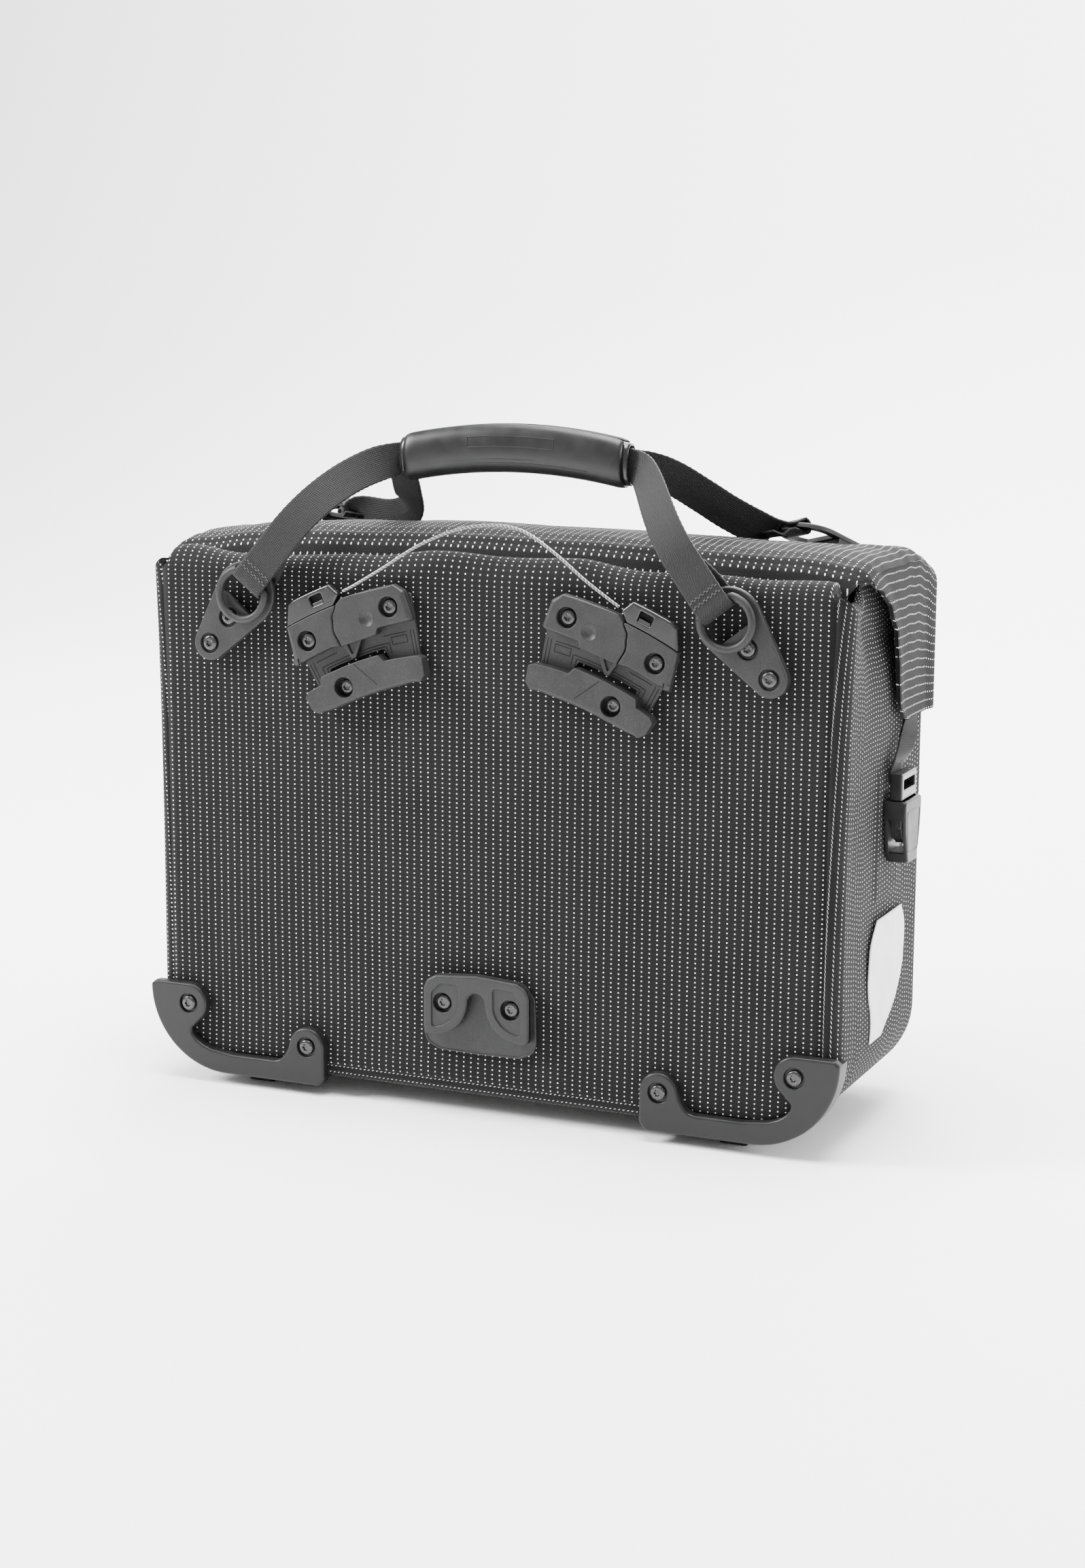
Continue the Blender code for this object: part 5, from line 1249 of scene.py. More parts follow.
@dataclass
class Handle:
    """Grip and the two straps that run through it."""

    y: float = 0.0450
    half_length: float = 0.0660
    z: float = 0.3725
    sag: float = 0.0070
    half_height: float = 0.0140
    half_depth: float = 0.0092
    cover: float = 0.0018
    liner: float = 0.0012
    extra: float = 0.0030
    slit: float = 24.0
    webbing: float = WEB_THICK
    width: float = WEB_WIDTH
    lobe: float = PLATE_LOBE
    label: tuple[float, float, float, float] = (-0.026, 66, 0.026, 88)
    stitch_rows: Flat = (0.047, 0.0505)
    stitch_pitch: float = 0.00143
    right_route: tuple[Spot, ...] = ((0.1110, 0.0885, 0.3368), (0.0990, 0.0790, 0.3462), (0.0865, 0.0665, 0.3564),
                                     (0.0765, 0.0540, 0.3625))
    left_route: tuple[Spot, ...] = ((-0.1060, 0.0965, 0.3262), (-0.0930, 0.0925, 0.3285), (-0.0845, 0.0830, 0.3340),
                                    (-0.0790, 0.0680, 0.3460), (-0.0745, 0.0530, 0.3590))

    def centre(self, x: float) -> float:
        """Height of the grip's centre line."""
        return self.z - self.sag * (x / self.half_length) ** 2

    def section(self, x: float, shift: float, angle: float) -> tuple:
        """A point on the grip, shift being its distance in from the cover's face."""
        turn = math.radians(angle)
        across, up = math.sin(turn), math.cos(turn)
        y = (self.half_depth - shift) * math.copysign(abs(across) ** 0.85, across)
        z = (self.half_height - shift) * math.copysign(abs(up) ** 0.85, up)
        return (x, self.y + y, self.centre(x) + z)

    def build(self, frames: dict[tuple[str, int], Matrix], lid: Lid) -> None:
        """Make the grip and both straps."""
        self.grip()
        ply = self.webbing / 2 + GAP
        self.strap("back", [self.back_half(frames["back", side], side) for side in (-1, 1)],
                   [frames["back", -1], frames["back", 1]], -ply)
        self.strap("front", [self.front_half(frames["front", side], side, lid, ply) for side in (-1, 1)],
                   [frames["front", -1], frames["front", 1]], ply)

    def grip(self) -> None:
        """Rubber cover open along its top, round a gloss tube."""
        rows = []
        for t in spread(-1.0, 1.0, 61):
            x = self.half_length * t
            end = max(0.0, abs(t) - 0.93) / 0.07
            shift = 0.0009 * end ** 2
            rows.append([self.section(x, shift, a) for a in spread(self.slit, 360 - self.slit, 56)])
        piece = Piece("grip_cover", GRIP_RUBBER).grid(rows).sheet(self.cover)
        piece.done(Slot.MATTE, "handle_grip", sharp=60)
        tube = []
        for x in spread(-self.half_length - self.extra, self.half_length + self.extra, 61):
            tube.append([self.section(x, self.cover + 2 * GAP, a) for a in spread(0, 360, 61)])
        Piece("grip_liner", SLIDER_GLOSS).grid(tube).sheet(self.liner).done(Slot.GLOSS, "handle_liner", sharp=60)
        self.relief()

    def relief(self) -> None:
        """Raised lines on the grip's back: a bare label frame and rubbing bars."""
        piece = Piece("grip_relief", GRIP_RUBBER)
        ring = rounded(box(*self.label), 0.004, 4)
        piece.tube([self.section(x, -0.00005, 360 - a) for x, a in self.dense(ring)], 0.00028, 8, True)
        for low, high, angle in ((-0.046, 0.014, 112), (-0.040, 0.046, 122)):
            line = [self.section(x, -0.00002, 360 - angle) for x in spread(low, high, 40)]
            piece.tube(line, 0.00022, 8)
        piece.done(Slot.MATTE)

    def dense(self, ring: list[Flat]) -> list[Flat]:
        """Add points along the long runs of a ring."""
        result = []
        for a, b in edges(ring):
            count = max(1, round(abs(b[0] - a[0]) / 0.002))
            result += [(a[0] + (b[0] - a[0]) * i / count, a[1] + (b[1] - a[1]) * i / count) for i in range(count)]
        return result

    def loop(self, place: Matrix, ring: bool) -> list[Vector]:
        """Centre line of a strap's sewn loop through its plate.

        Args:
            place: Frame of the plate.
            ring: Whether it holds a D ring or the plate's own rim.

        Returns:
            Points from the hidden end of the lap to the outer ply.
        """
        under = 2 * GAP + self.webbing * 0.5
        bar, out, core = (RING_BAR, RING_OUT, RING_STOCK) if ring else (0.0115, 0.0046, 0.0032)
        around = core + GAP + self.webbing * 0.5 + 0.0004
        lap = self.lobe + 0.0150
        rise = 0.0105 if ring else 0.0050
        edge = bar - around
        path = [(lap, rise - self.webbing - GAP * 2), (self.lobe + 0.0070, under + 0.0026), (self.lobe, under),
                (edge + 0.0024, under), (edge + 0.0004, under + 0.0012)]
        path += arc((bar, out), around, 180, 90, 4)
        path += [(self.lobe + 0.0050, max(rise + 0.0004, out + around - 0.0012)), (lap, rise)]
        return [place @ Vector((0, a, o)) for a, o in path]

    def back_half(self, place: Matrix, side: int) -> list[Vector]:
        """Centre line of the back strap from its lap to the grip.

        Args:
            place: Frame of its plate.
            side: Which end of the bag.

        Returns:
            Points from the hidden end of the lap to the grip.
        """
        loop = self.loop(place, True)
        start = loop[-1]
        heading = (place.to_3x3() @ Vector((0, 1, 0))).normalized()
        edge = side * (self.half_length + self.extra + 0.002)
        end = Vector((edge, self.y - self.webbing / 2 - GAP, self.centre(edge)))
        reach = (end - start).length
        one = start + heading * reach * (0.48 if side < 0 else 0.40)
        two = end + Vector((side, -0.8, -0.20)).normalized() * reach * 0.24
        return loop + [start * (1 - t) ** 3 + one * 3 * t * (1 - t) ** 2 + two * 3 * t * t * (1 - t) + end * t ** 3
                       for t in spread(0.0, 1.0, 9)[1:]]

    def front_half(self, place: Matrix, side: int, lid: Lid, shift: float) -> list[Vector]:
        """Centre line of the front strap, bent over the lid's crown.

        Args:
            place: Frame of its plate.
            side: Which end of the bag.
            lid: The lid that it lies on.
            shift: Its place in the grip, off the centre line.

        Returns:
            Points from the hidden end of the lap to the grip.
        """
        loop = self.loop(place, False)
        for i, lift in ((0, 0.0036), (1, 0.0036), (-2, 0.0086), (-1, 0.0056)):
            loop[i].z = min(loop[i].z, lid.height(loop[i].x, loop[i].y) + lift)
        route = self.right_route if side > 0 else self.left_route
        edge = side * (self.half_length + self.extra + 0.002)
        return loop + [Vector(p) for p in route] + [Vector((edge, self.y + shift, self.centre(edge)))]

    def strap(self, word: str, halves: list[list[Vector]], places: list[Matrix], shift: float) -> None:
        """One band of webbing from plate to plate through the grip.

        Args:
            word: Which strap it is.
            halves: Centre line of each half, from its lap to the grip.
            places: Frames of its plates.
            shift: Its place in the grip, off the centre line.
        """
        middle = [Vector((x, self.y + shift, self.centre(x))) for x in spread(-self.half_length, self.half_length, 7)]
        line = smooth_line(halves[0] + middle + halves[1][::-1], 0.0018)
        rows = self.ribbon(line, places, halves, 0.35 if word == "back" else 0.30)
        piece = Piece(f"webbing_{word}", WEBBING).grid(rows)
        piece.sheet(self.webbing, 0.0).done(Slot.WEBBING, f"strap_{word}", sharp=50)
        self.stitches(word, line, rows)

    def ribbon(self, line: list[Vector], places: list[Matrix], halves: list[list[Vector]],
               twist: float) -> list[list[Vector]]:
        """Rows of points across a strap.

        Args:
            line: Its centre line.
            places: Frames of its plates.
            halves: Centre line of each half.
            twist: Share of the way to the grip over which it turns from its plate to upright.

        Returns:
            The rows.
        """
        inner = self.half_length + self.extra
        rows = []
        starts = []
        for half in halves:
            far = [(half[9] - p).length for p in line]
            starts.append(far.index(min(far)))
        inside = [i for i, p in enumerate(line) if abs(p.x) < inner + 0.003]
        for i, point in enumerate(line):
            first = i < len(line) / 2
            place = places[0] if first else places[1]
            flat = (place.to_3x3() @ Vector((1, 0, 0))).normalized()
            flat = flat * math.copysign(1.0, flat.x * point.x)
            heading = (line[min(i + 1, len(line) - 1)] - line[max(i - 1, 0)]).normalized()
            run = (i - starts[0]) / (inside[0] - starts[0]) if first else (starts[1] - i) / (starts[1] - inside[-1])
            upright = heading.cross(Vector((0, 1, 0)))
            upright = upright * math.copysign(1.0, upright.z)
            share = ease(run / twist)
            across = (flat * (1 - share) + upright * share).normalized()
            across = (across - heading * across.dot(heading)).normalized()
            if abs(point.x) < inner + 0.003:
                across = UPWARD
            narrow = ease((inner + 0.012 - abs(point.x)) / 0.010)
            half = (self.width - 0.0018 * narrow) / 2
            saw = 0.00012 * (1 if i % 2 else -1)
            rows.append([point + across * (t * (half + saw * (abs(t) > 0.99))) for t in WEB_ACROSS])
        return rows

    def stitches(self, word: str, line: list[Vector], rows: list[list[Vector]]) -> None:
        """Rows of thread over the laps at both ends of a strap."""
        piece = Piece(f"lap_stitching_{word}", DARK_THREAD)
        for end in (0, 1):
            order = list(range(len(line)))[::-1 if end else 1]
            for far in self.stitch_rows:
                run, i = 0.0, 0
                while run < far:
                    run += (line[order[i + 1]] - line[order[i]]).length
                    i += 1
                row, ahead = rows[order[i]], rows[order[i + 1]]
                heading = (ahead[3] - row[3]).normalized()
                across = (row[6] - row[0]).normalized()
                face = across.cross(heading).normalized()
                if face.y > 0:
                    face = -face
                for k in range(13):
                    t = -0.0086 + self.stitch_pitch * k
                    middle = row[3] + across * t + heading * (0.0004 if k % 2 else -0.0004)
                    reach = across * 0.0006
                    bow = face * (self.webbing / 2 + 0.0002)
                    stitch = [middle - reach + bow * 0.8, middle + bow * 1.15, middle + reach + bow * 0.8]
                    piece.tube(stitch, 0.00028, 6)
        piece.done(Slot.WEBBING)


@dataclass
class RingPlates:
    """Tear-shaped plates of the straps, and the D rings on the back pair."""

    lobe: float = PLATE_LOBE
    tip: float = 0.0100
    reach: float = 0.0373
    second: float = 0.0174
    hole: float = 0.0135
    chord: float = 0.0073
    rim: float = 0.0028
    proud: float = 0.0060
    ring_radius: float = 0.0143
    turn: float = 38.4
    back_spot: Flat = (0.1445, 0.2889)
    front_spot: Flat = (0.1445, 0.1230)

    def back_place(self, side: int) -> Matrix:
        """Frame of a plate on the back panel."""
        spot = Matrix.Translation((side * self.back_spot[0], self.back_spot[1], 0))
        return BACK @ spot @ Matrix.Rotation(side * math.radians(self.turn), 4, "Z")

    def front_place(self, lid: Lid, side: int) -> Matrix:
        """Frame of a plate lying on the lid.

        Args:
            lid: The lid that carries it.
            side: Which end of the bag.

        Returns:
            The frame, along pointing towards the grip.
        """
        def on(spot: Vector) -> Vector:
            return Vector((spot.x, spot.y, lid.height(spot.x, spot.y)))

        turn = math.radians(self.turn)
        heading = Vector((side * math.sin(turn), math.cos(turn)))
        beside = Vector((heading.y, -heading.x))
        centre = Vector((side * self.front_spot[0], self.front_spot[1]))
        middle = centre + heading * self.reach / 2
        up = (on(centre) - on(centre + heading * self.reach)).normalized()
        slope = (on(middle + beside * self.tip) - on(middle - beside * self.tip)).normalized()
        out = slope.cross(up).normalized()
        out = out if out.z > 0 else -out
        place = Matrix((up.cross(out), up, out)).transposed().to_4x4()
        origin = on(centre)
        lift = 0.0
        for far in spread(-self.lobe, self.reach + self.tip, 9):
            for wide in (-self.lobe, 0.0, self.lobe):
                lift = max(lift, (on(centre + heading * far + beside * wide) - origin).dot(out))
        place.translation = origin + out * (lift + GAP)
        return place

    def build(self, lid: Lid) -> dict[tuple[str, int], Matrix]:
        """Make the four plates and two rings, and give the plates' frames."""
        frames = {}
        for side in Side:
            frames["back", side.value] = self.back_place(side.value)
            frames["front", side.value] = self.front_place(lid, side.value)
            for word in ("back", "front"):
                self.plate(f"{word}_plate_{side.word}", frames[word, side.value])
            self.ring(side, frames["back", side.value])
        return frames

    def plate(self, node: str, place: Matrix) -> None:
        """One plate with its two screws.

        Args:
            node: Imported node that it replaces.
            place: Frame of the plate.
        """
        lean = math.degrees(math.asin((self.lobe - self.tip) / self.reach))
        outline = arc((0, 0), self.lobe, -lean, 180 + lean, 40)
        outline += arc((0, -self.reach), self.tip, 180 + lean, 360 - lean, 24)
        dip = math.degrees(math.asin(self.chord / self.hole))
        hole = rounded(arc((0, 0), self.hole, -dip, 180 + dip, 36), 0.003)
        pockets = [HEAD.ring((0, -spot)) for spot in (self.reach, self.second)]
        piece = Piece(node + "_moulding", HOOK_MATTE)
        under = self.proud - self.rim
        piece.plate(outline, under, self.proud, 0.0011, (hole, *pockets), place, steps=4)
        ledge = -self.chord - 0.0014
        low_half = math.sqrt(max(0.0, self.lobe ** 2 - ledge ** 2))
        skirt = {point for point in outline if point[1] < ledge} | {(low_half, ledge), (-low_half, ledge)}
        skirt = sorted(skirt, key=lambda p: math.atan2(p[1] + self.second, p[0]))
        piece.plate(skirt, GAP, under + 0.0002, 0.0001, tuple(pockets), place, steps=1)
        for label, spot in (("tip", self.reach), ("second", self.second)):
            HEAD.fit(piece, GAP, f"{node}_{label}_screw", f"{node}_screw_{label}", (0, -spot), place)
        piece.done(Slot.MATTE, node)

    def ring(self, side: Side, place: Matrix) -> None:
        """D ring that the back strap's loop holds."""
        rise = math.degrees(math.asin(RING_BAR / self.ring_radius))
        flat = rounded(arc((0, 0), self.ring_radius, rise, -180 - rise, 56), 0.0034, 6)
        line = smooth_line([Vector((x, y, RING_OUT)) for x, y in [*flat, flat[0]]], 0.0012)[:-1]
        piece = Piece(f"d_ring_{side.word}_moulding", HOOK_MATTE)
        piece.tube(line, RING_STOCK, 16, True, place, 0, 0.86, UPWARD)
        piece.done(Slot.MATTE, f"d_ring_{side.word}", sharp=60)


@dataclass
class RackHook:
    """One rack hook, laid out on arcs about the lower hook."""

    side: Side
    pivot: float = 0.0654
    seat: float = HOOK_SEAT
    proud: float = 0.0080
    rail_proud: float = 0.0100
    slider_proud: float = 0.0072
    inner: float = 10.2
    outer: float = 31.4
    channel: float = 0.2140
    step: float = 0.0035
    block_top: float = 0.2391
    arm_top: float = 0.2366
    slider_top: float = 0.2488
    rail_top: float = 0.2030
    rail_bottom: float = 0.1833
    base_span: tuple[float, float, float, float] = (0.1860, 0.2330, 10.5, 30.0)
    window: Flat = (16.6, 26.7)
    dimple: Flat = (0.2241, 17.3)
    bowl: tuple[Flat, ...] = ((0.0004, 0.0015), (0.0016, 0.00138), (0.0028, 0.0010), (0.0038, 0.0005),
                              (0.0046, -0.0001), (0.0048, 0.0016))
    rail_rows: tuple[Spot, ...] = (
        (9.3, 0.0060, 0.0040), (10.3, 0.0045, 0.0008), (16.1, 0.0040, 0.0), (16.9, 0.0, 0.0), (22.3, 0.0, 0.0),
        (27.7, 0.0, 0.0002), (28.5, 0.0040, 0.0005), (31.0, 0.0040, 0.0022), (31.9, 0.0058, 0.0060))
    latch_half: float = 0.0058
    latch_rise: float = 0.0075
    latch_tip: float = 0.2053
    seam_rows: tuple[Flat, ...] = ((0.0, 22.7), (0.40, 23.0), (0.72, 22.5), (1.0, 21.4))
    screws: tuple[tuple[str, float, float], ...] = (("inner", 0.2274, 13.6), ("outer", 0.2248, 27.6),
                                                    ("rail", 0.1923, 24.6))

    def at(self, radius: float, angle: float) -> Flat:
        """A point at a radius from the lower hook, degrees from straight up."""
        turn = math.radians(angle)
        return (self.side.value * radius * math.sin(turn), self.pivot + radius * math.cos(turn))

    def run(self, radius: float, start: float, end: float, steps: int = 16) -> list[Flat]:
        """Points along one of the hook's arcs."""
        return [self.at(radius, angle) for angle in spread(start, end, steps + 1)]

    def seam(self, shift: float) -> list[Flat]:
        """Points up the curved seam between the two blocks."""
        points = []
        for up in spread(0.0, 1.0, 15):
            angle = along(self.seam_rows, up)
            points.append(self.at(self.channel + (self.arm_top - self.channel) * up, angle + shift))
        return points

    def spot(self, label: str) -> Flat:
        """Place of one of the hook's screws."""
        radius, angle = next((r, a) for name, r, a in self.screws if name == label)
        return self.at(radius, angle)

    def build(self) -> None:
        """Make all the hook's pieces."""
        self.base()
        self.cover()
        self.arm()
        self.slider()
        self.latch()
        self.rail()
        for label, _, _ in self.screws:
            HEAD.head(f"hook_{self.side.word}_{label}_screw", f"hook_screw_{label}_{self.side.word}",
                      self.spot(label))

    def angle(self, point: Flat) -> float:
        """Angle of a point about the lower hook."""
        return math.degrees(math.atan2(self.side.value * point[0], point[1] - self.pivot))

    def radius(self, point: Flat) -> float:
        """Distance of a point from the lower hook."""
        return math.hypot(point[0], point[1] - self.pivot)

    def outer_rim(self, point: Flat) -> float:
        """Rim of the arm and the slider: a broad bevel at the outer end, crisp at the joints."""
        joint = abs(self.radius(point) - self.arm_top) < 0.0008
        return 0.0005 + (0.0 if joint else 0.0007) + 0.0022 * ease((self.angle(point) - 29.4) / 0.9)

    def inner_rim(self, point: Flat) -> float:
        """Rim of the cover: broad at the inner end and along the top, crisp at the seam."""
        inner = 0.0019 * ease((12.0 - self.angle(point)) / 1.0)
        top = 0.0008 * ease((self.radius(point) - self.block_top + 0.0012) / 0.001) * ease((19 - self.angle(point)) / 2)
        return 0.0006 + max(inner, top)

    def rail_rim(self, point: Flat) -> float:
        """Rim of the rail: a deep round along its lower side and at its ends."""
        turn = self.angle(point)
        ends = ease((turn - 10.4) / 1.2) * ease((30.9 - turn) / 1.2)
        low = 0.0021 * ease((self.rail_bottom + 0.0075 - self.radius(point)) / 0.003) * ends
        spot = self.spot("rail")
        room = math.hypot(point[0] - spot[0], point[1] - spot[1]) - HEAD.pocket - 0.0012
        return max(0.0003, min(0.0005 + low, room))

    def sector(self, low: float, high: float, start: float, end: float, radius: float) -> list[Flat]:
        """A rounded piece of ring between two radii and two angles."""
        return rounded(self.run(high, start, end) + self.run(low, end, start), radius)

    def base(self) -> None:
        """Base plate with its window, border lines and sunk outlines."""
        word = self.side.word
        outline = self.sector(*self.base_span, 0.0015)
        high = self.rail_top + 0.0021
        start, end = self.window
        window = rounded(self.run(high, start, end) + self.run(self.rail_top - 0.0040, 27.2, 16.0), 0.003)
        piece = Piece(f"hook_base_{word}_moulding", HOOK_MATTE, GROOVE_SHADE)
        piece.plate(outline, GAP, self.seat, 0.0004, (window,))
        face = self.seat
        # Border lines and sunk outlines are drawn in the near-black groove finish: painted shade.
        for reach, shift in ((0.0013, 0.5), (0.0029, 1.2)):
            ring = self.run(self.rail_top - 0.001, start - shift, start - shift, 1)
            ring += self.run(high + reach, start - shift, end + shift, 24)
            ring += self.run(self.rail_top - 0.001, end + shift, end + shift, 1)
            piece.groove(rounded(ring, 0.003)[1:-1], face)
        for turn in (11.0, 11.55, 29.0, 29.55):
            piece.groove([self.at(r, turn) for r in spread(0.187, 0.2128, 12)], face)
        piece.groove(self.sector(0.2064, 0.2105, 12.3, 14.9, 0.0012), face, closed=True)
        piece.groove(self.run(0.2121, 12.3, 16.2), face)
        piece.groove(self.run(0.2121, 24.5, 28.4), face)
        piece.done(Slot.MATTE, f"hook_base_{word}")

    def cover(self) -> None:
        """Inner block with its dimple, step and screw pocket."""
        word = self.side.word
        step = self.channel + self.step
        outline = [self.at(self.channel, 16.5), self.at(step, 16.1)]
        outline += [self.at(step, self.inner + 0.7), self.at(step + 0.0014, self.inner)]
        outline += [self.at(self.block_top - 0.0047, self.inner + 0.7)]
        outline += self.run(self.block_top, self.inner + 2.1, self.seam_rows[-1][1] - 1.1)
        outline += self.seam(-0.06)[::-1]
        piece = Piece(f"hook_cover_{word}_moulding", HOOK_MATTE)
        dimple = self.at(*self.dimple)
        low = self.seat + 2 * GAP
        piece.plate(rounded(outline, 0.0016), low + 0.0034, self.proud, self.inner_rim,
                    (HEAD.ring(self.spot("inner")), circle(dimple, 0.0044)), steps=4)
        piece.plate(rounded(outline, 0.0016), low, low + 0.0036, 0.0001,
                    (HEAD.ring(self.spot("inner")), self.pocket()), steps=1)
        bowl = [[(x, z, self.proud - 0.0001 - drop) for x, z in circle(dimple, radius)] for radius, drop in self.bowl]
        piece.loft(bowl, BACK)
        HEAD.pocket_in(piece, self.spot("inner"), low)
        piece.done(Slot.MATTE, f"hook_cover_{word}")

    def tilted(self) -> Matrix:
        """Frame of the latch, along pointing away from the lower hook."""
        turn = Matrix.Rotation(-self.side.value * math.radians(LATCH_LEAN), 4, "Z")
        return BACK @ Matrix.Translation((0, self.pivot, 0)) @ turn

    def pocket(self) -> list[Flat]:
        """Outline of the latch's pocket under the cover, in the hook's own plane."""
        half, top = self.latch_half + 2 * GAP, self.channel + self.latch_rise + 0.0060 + 2 * GAP
        turn = Matrix.Rotation(-self.side.value * math.radians(LATCH_LEAN), 2)
        ends = [turn @ Vector(end) for end in box(-half, self.channel + 0.0012, half, top)]
        return [(end.x, end.y + self.pivot) for end in ends]

    def arm(self) -> None:
        """Outer block with its screw pocket."""
        word = self.side.word
        outline = self.seam(0.06)
        outline += self.run(self.arm_top, self.seam_rows[-1][1] + 1.5, self.outer - 1.7)
        outline += self.run(self.channel + 0.0014, self.outer, self.seam_rows[0][1] + 1.5)
        low = self.seat + 2 * GAP
        piece = Piece(f"hook_arm_{word}_moulding", HOOK_MATTE)
        piece.plate(rounded(outline, 0.0018), low, self.proud, self.outer_rim,
                    (HEAD.ring(self.spot("outer")),), steps=4)
        HEAD.pocket_in(piece, self.spot("outer"), low)
        piece.done(Slot.MATTE, f"hook_arm_{word}")

    def slider(self) -> None:
        """Glossy release slider with its ribbed window, the window's floor and a facet line in near-black painted
        shade.
        """
        word = self.side.word
        top = self.slider_top
        outline = self.run(self.arm_top + GAP + 0.0001, self.seam_rows[-1][1] + 0.4, self.outer - 1.75)
        outline += [self.at(top - 0.0012, self.outer - 3.3)]
        outline += self.run(top, self.outer - 4.2, self.seam_rows[-1][1] + 0.1)
        outline += [self.at(self.block_top + 0.0026, self.seam_rows[-1][1] - 0.9)]
        low = self.seat + 2 * GAP
        window = rounded(self.run(top - 0.0084, 22.9, 24.8, 4) + self.run(top - 0.0026, 24.8, 22.9, 4), 0.0012)
        piece = Piece(f"release_slider_{word}_moulding", SLIDER_GLOSS, GROOVE_SHADE)
        piece.plate(rounded(outline, 0.0014), low + 0.0002, self.slider_proud, self.outer_rim, (window,), steps=4)
        # Window floor in the near-black groove finish: painted shade inside the window.
        floor = inset(wound(window), -0.0004)
        piece.plate(floor, low, self.slider_proud - 0.0030, 0.0001, finish=1)
        bar = self.run(top - 0.0084, 23.0, 24.7, 4) + self.run(top - 0.0066, 24.7, 23.0, 4)
        piece.plate(rounded(bar, 0.0003), low, self.slider_proud - 0.0007, 0.0003)
        # Facet line at the outer corner as a near-black groove: painted shade where two facets meet.
        corner = [self.at(top - 0.0012, 21.9), self.at(top - 0.0062, 21.0), self.at(self.arm_top + 0.0012, 22.9)]
        piece.groove(corner, self.slider_proud - 0.0001, width=0.0002)
        piece.done(Slot.GLOSS, f"release_slider_{word}")

    def latch(self) -> None:
        """Sprung V latch that closes the channel."""
        half, low = self.latch_half, self.seat + GAP
        top, base, tip = self.channel + self.latch_rise, self.channel - 0.0004, self.latch_tip
        nose = self.side.value * 0.0022
        outline = [(-half, top), (half, top), (half, base), (nose + 0.0013, tip), (nose - 0.0013, tip), (-half, base)]
        inner = [(-half + 0.0024, base + 0.0010), (half - 0.0024, base + 0.0010), (nose + 0.0004, tip + 0.0026),
                 (nose - 0.0004, tip + 0.0026)]
        piece = Piece(f"latch_{self.side.word}_moulding", HOOK_MATTE)
        place = self.tilted()
        piece.plate(rounded(outline, 0.0006), low, low + 0.0018, 0.0003, place=place)
        piece.plate(rounded(outline, 0.0006), low + 0.0016, low + 0.0030, 0.0004, (rounded(inner, 0.0005),), place)
        piece.done(Slot.MATTE, f"latch_{self.side.word}", body=f"latch_{self.side.word}")

    def rail(self) -> None:
        """Lower rail with its bevelled flank, diagonal groove and screw pocket."""
        word, low = self.side.word, self.seat + GAP
        drops, rises = [(a, d) for a, d, _ in self.rail_rows], [(a, r) for a, _, r in self.rail_rows]
        angles = sorted({round(a, 3) for a in spread(drops[0][0], drops[-1][0], 64)} | {a for a, _ in drops})
        top = [self.at(self.rail_top - along(drops, a), a) for a in angles]
        foot = [self.at(self.rail_bottom + along(rises, a), a) for a in angles]
        piece = Piece(f"hook_rail_{word}_moulding", HOOK_MATTE, GROOVE_SHADE)
        pocket = HEAD.ring(self.spot("rail"))
        piece.plate(rounded(top + foot[::-1], 0.0014), low, self.rail_proud, self.rail_rim, (pocket,), steps=5)
        HEAD.pocket_in(piece, self.spot("rail"), low)
        # Diagonal groove in the near-black groove finish: painted shade.
        start, end = self.at(self.rail_top - 0.0007, 21.4), self.at(self.rail_bottom + 0.0042, 18.4)
        groove = [(start[0] + (end[0] - start[0]) * t, start[1] + (end[1] - start[1]) * t) for t in spread(0, 1, 8)]
        piece.groove(groove, self.rail_proud)
        piece.done(Slot.MATTE, f"hook_rail_{word}")


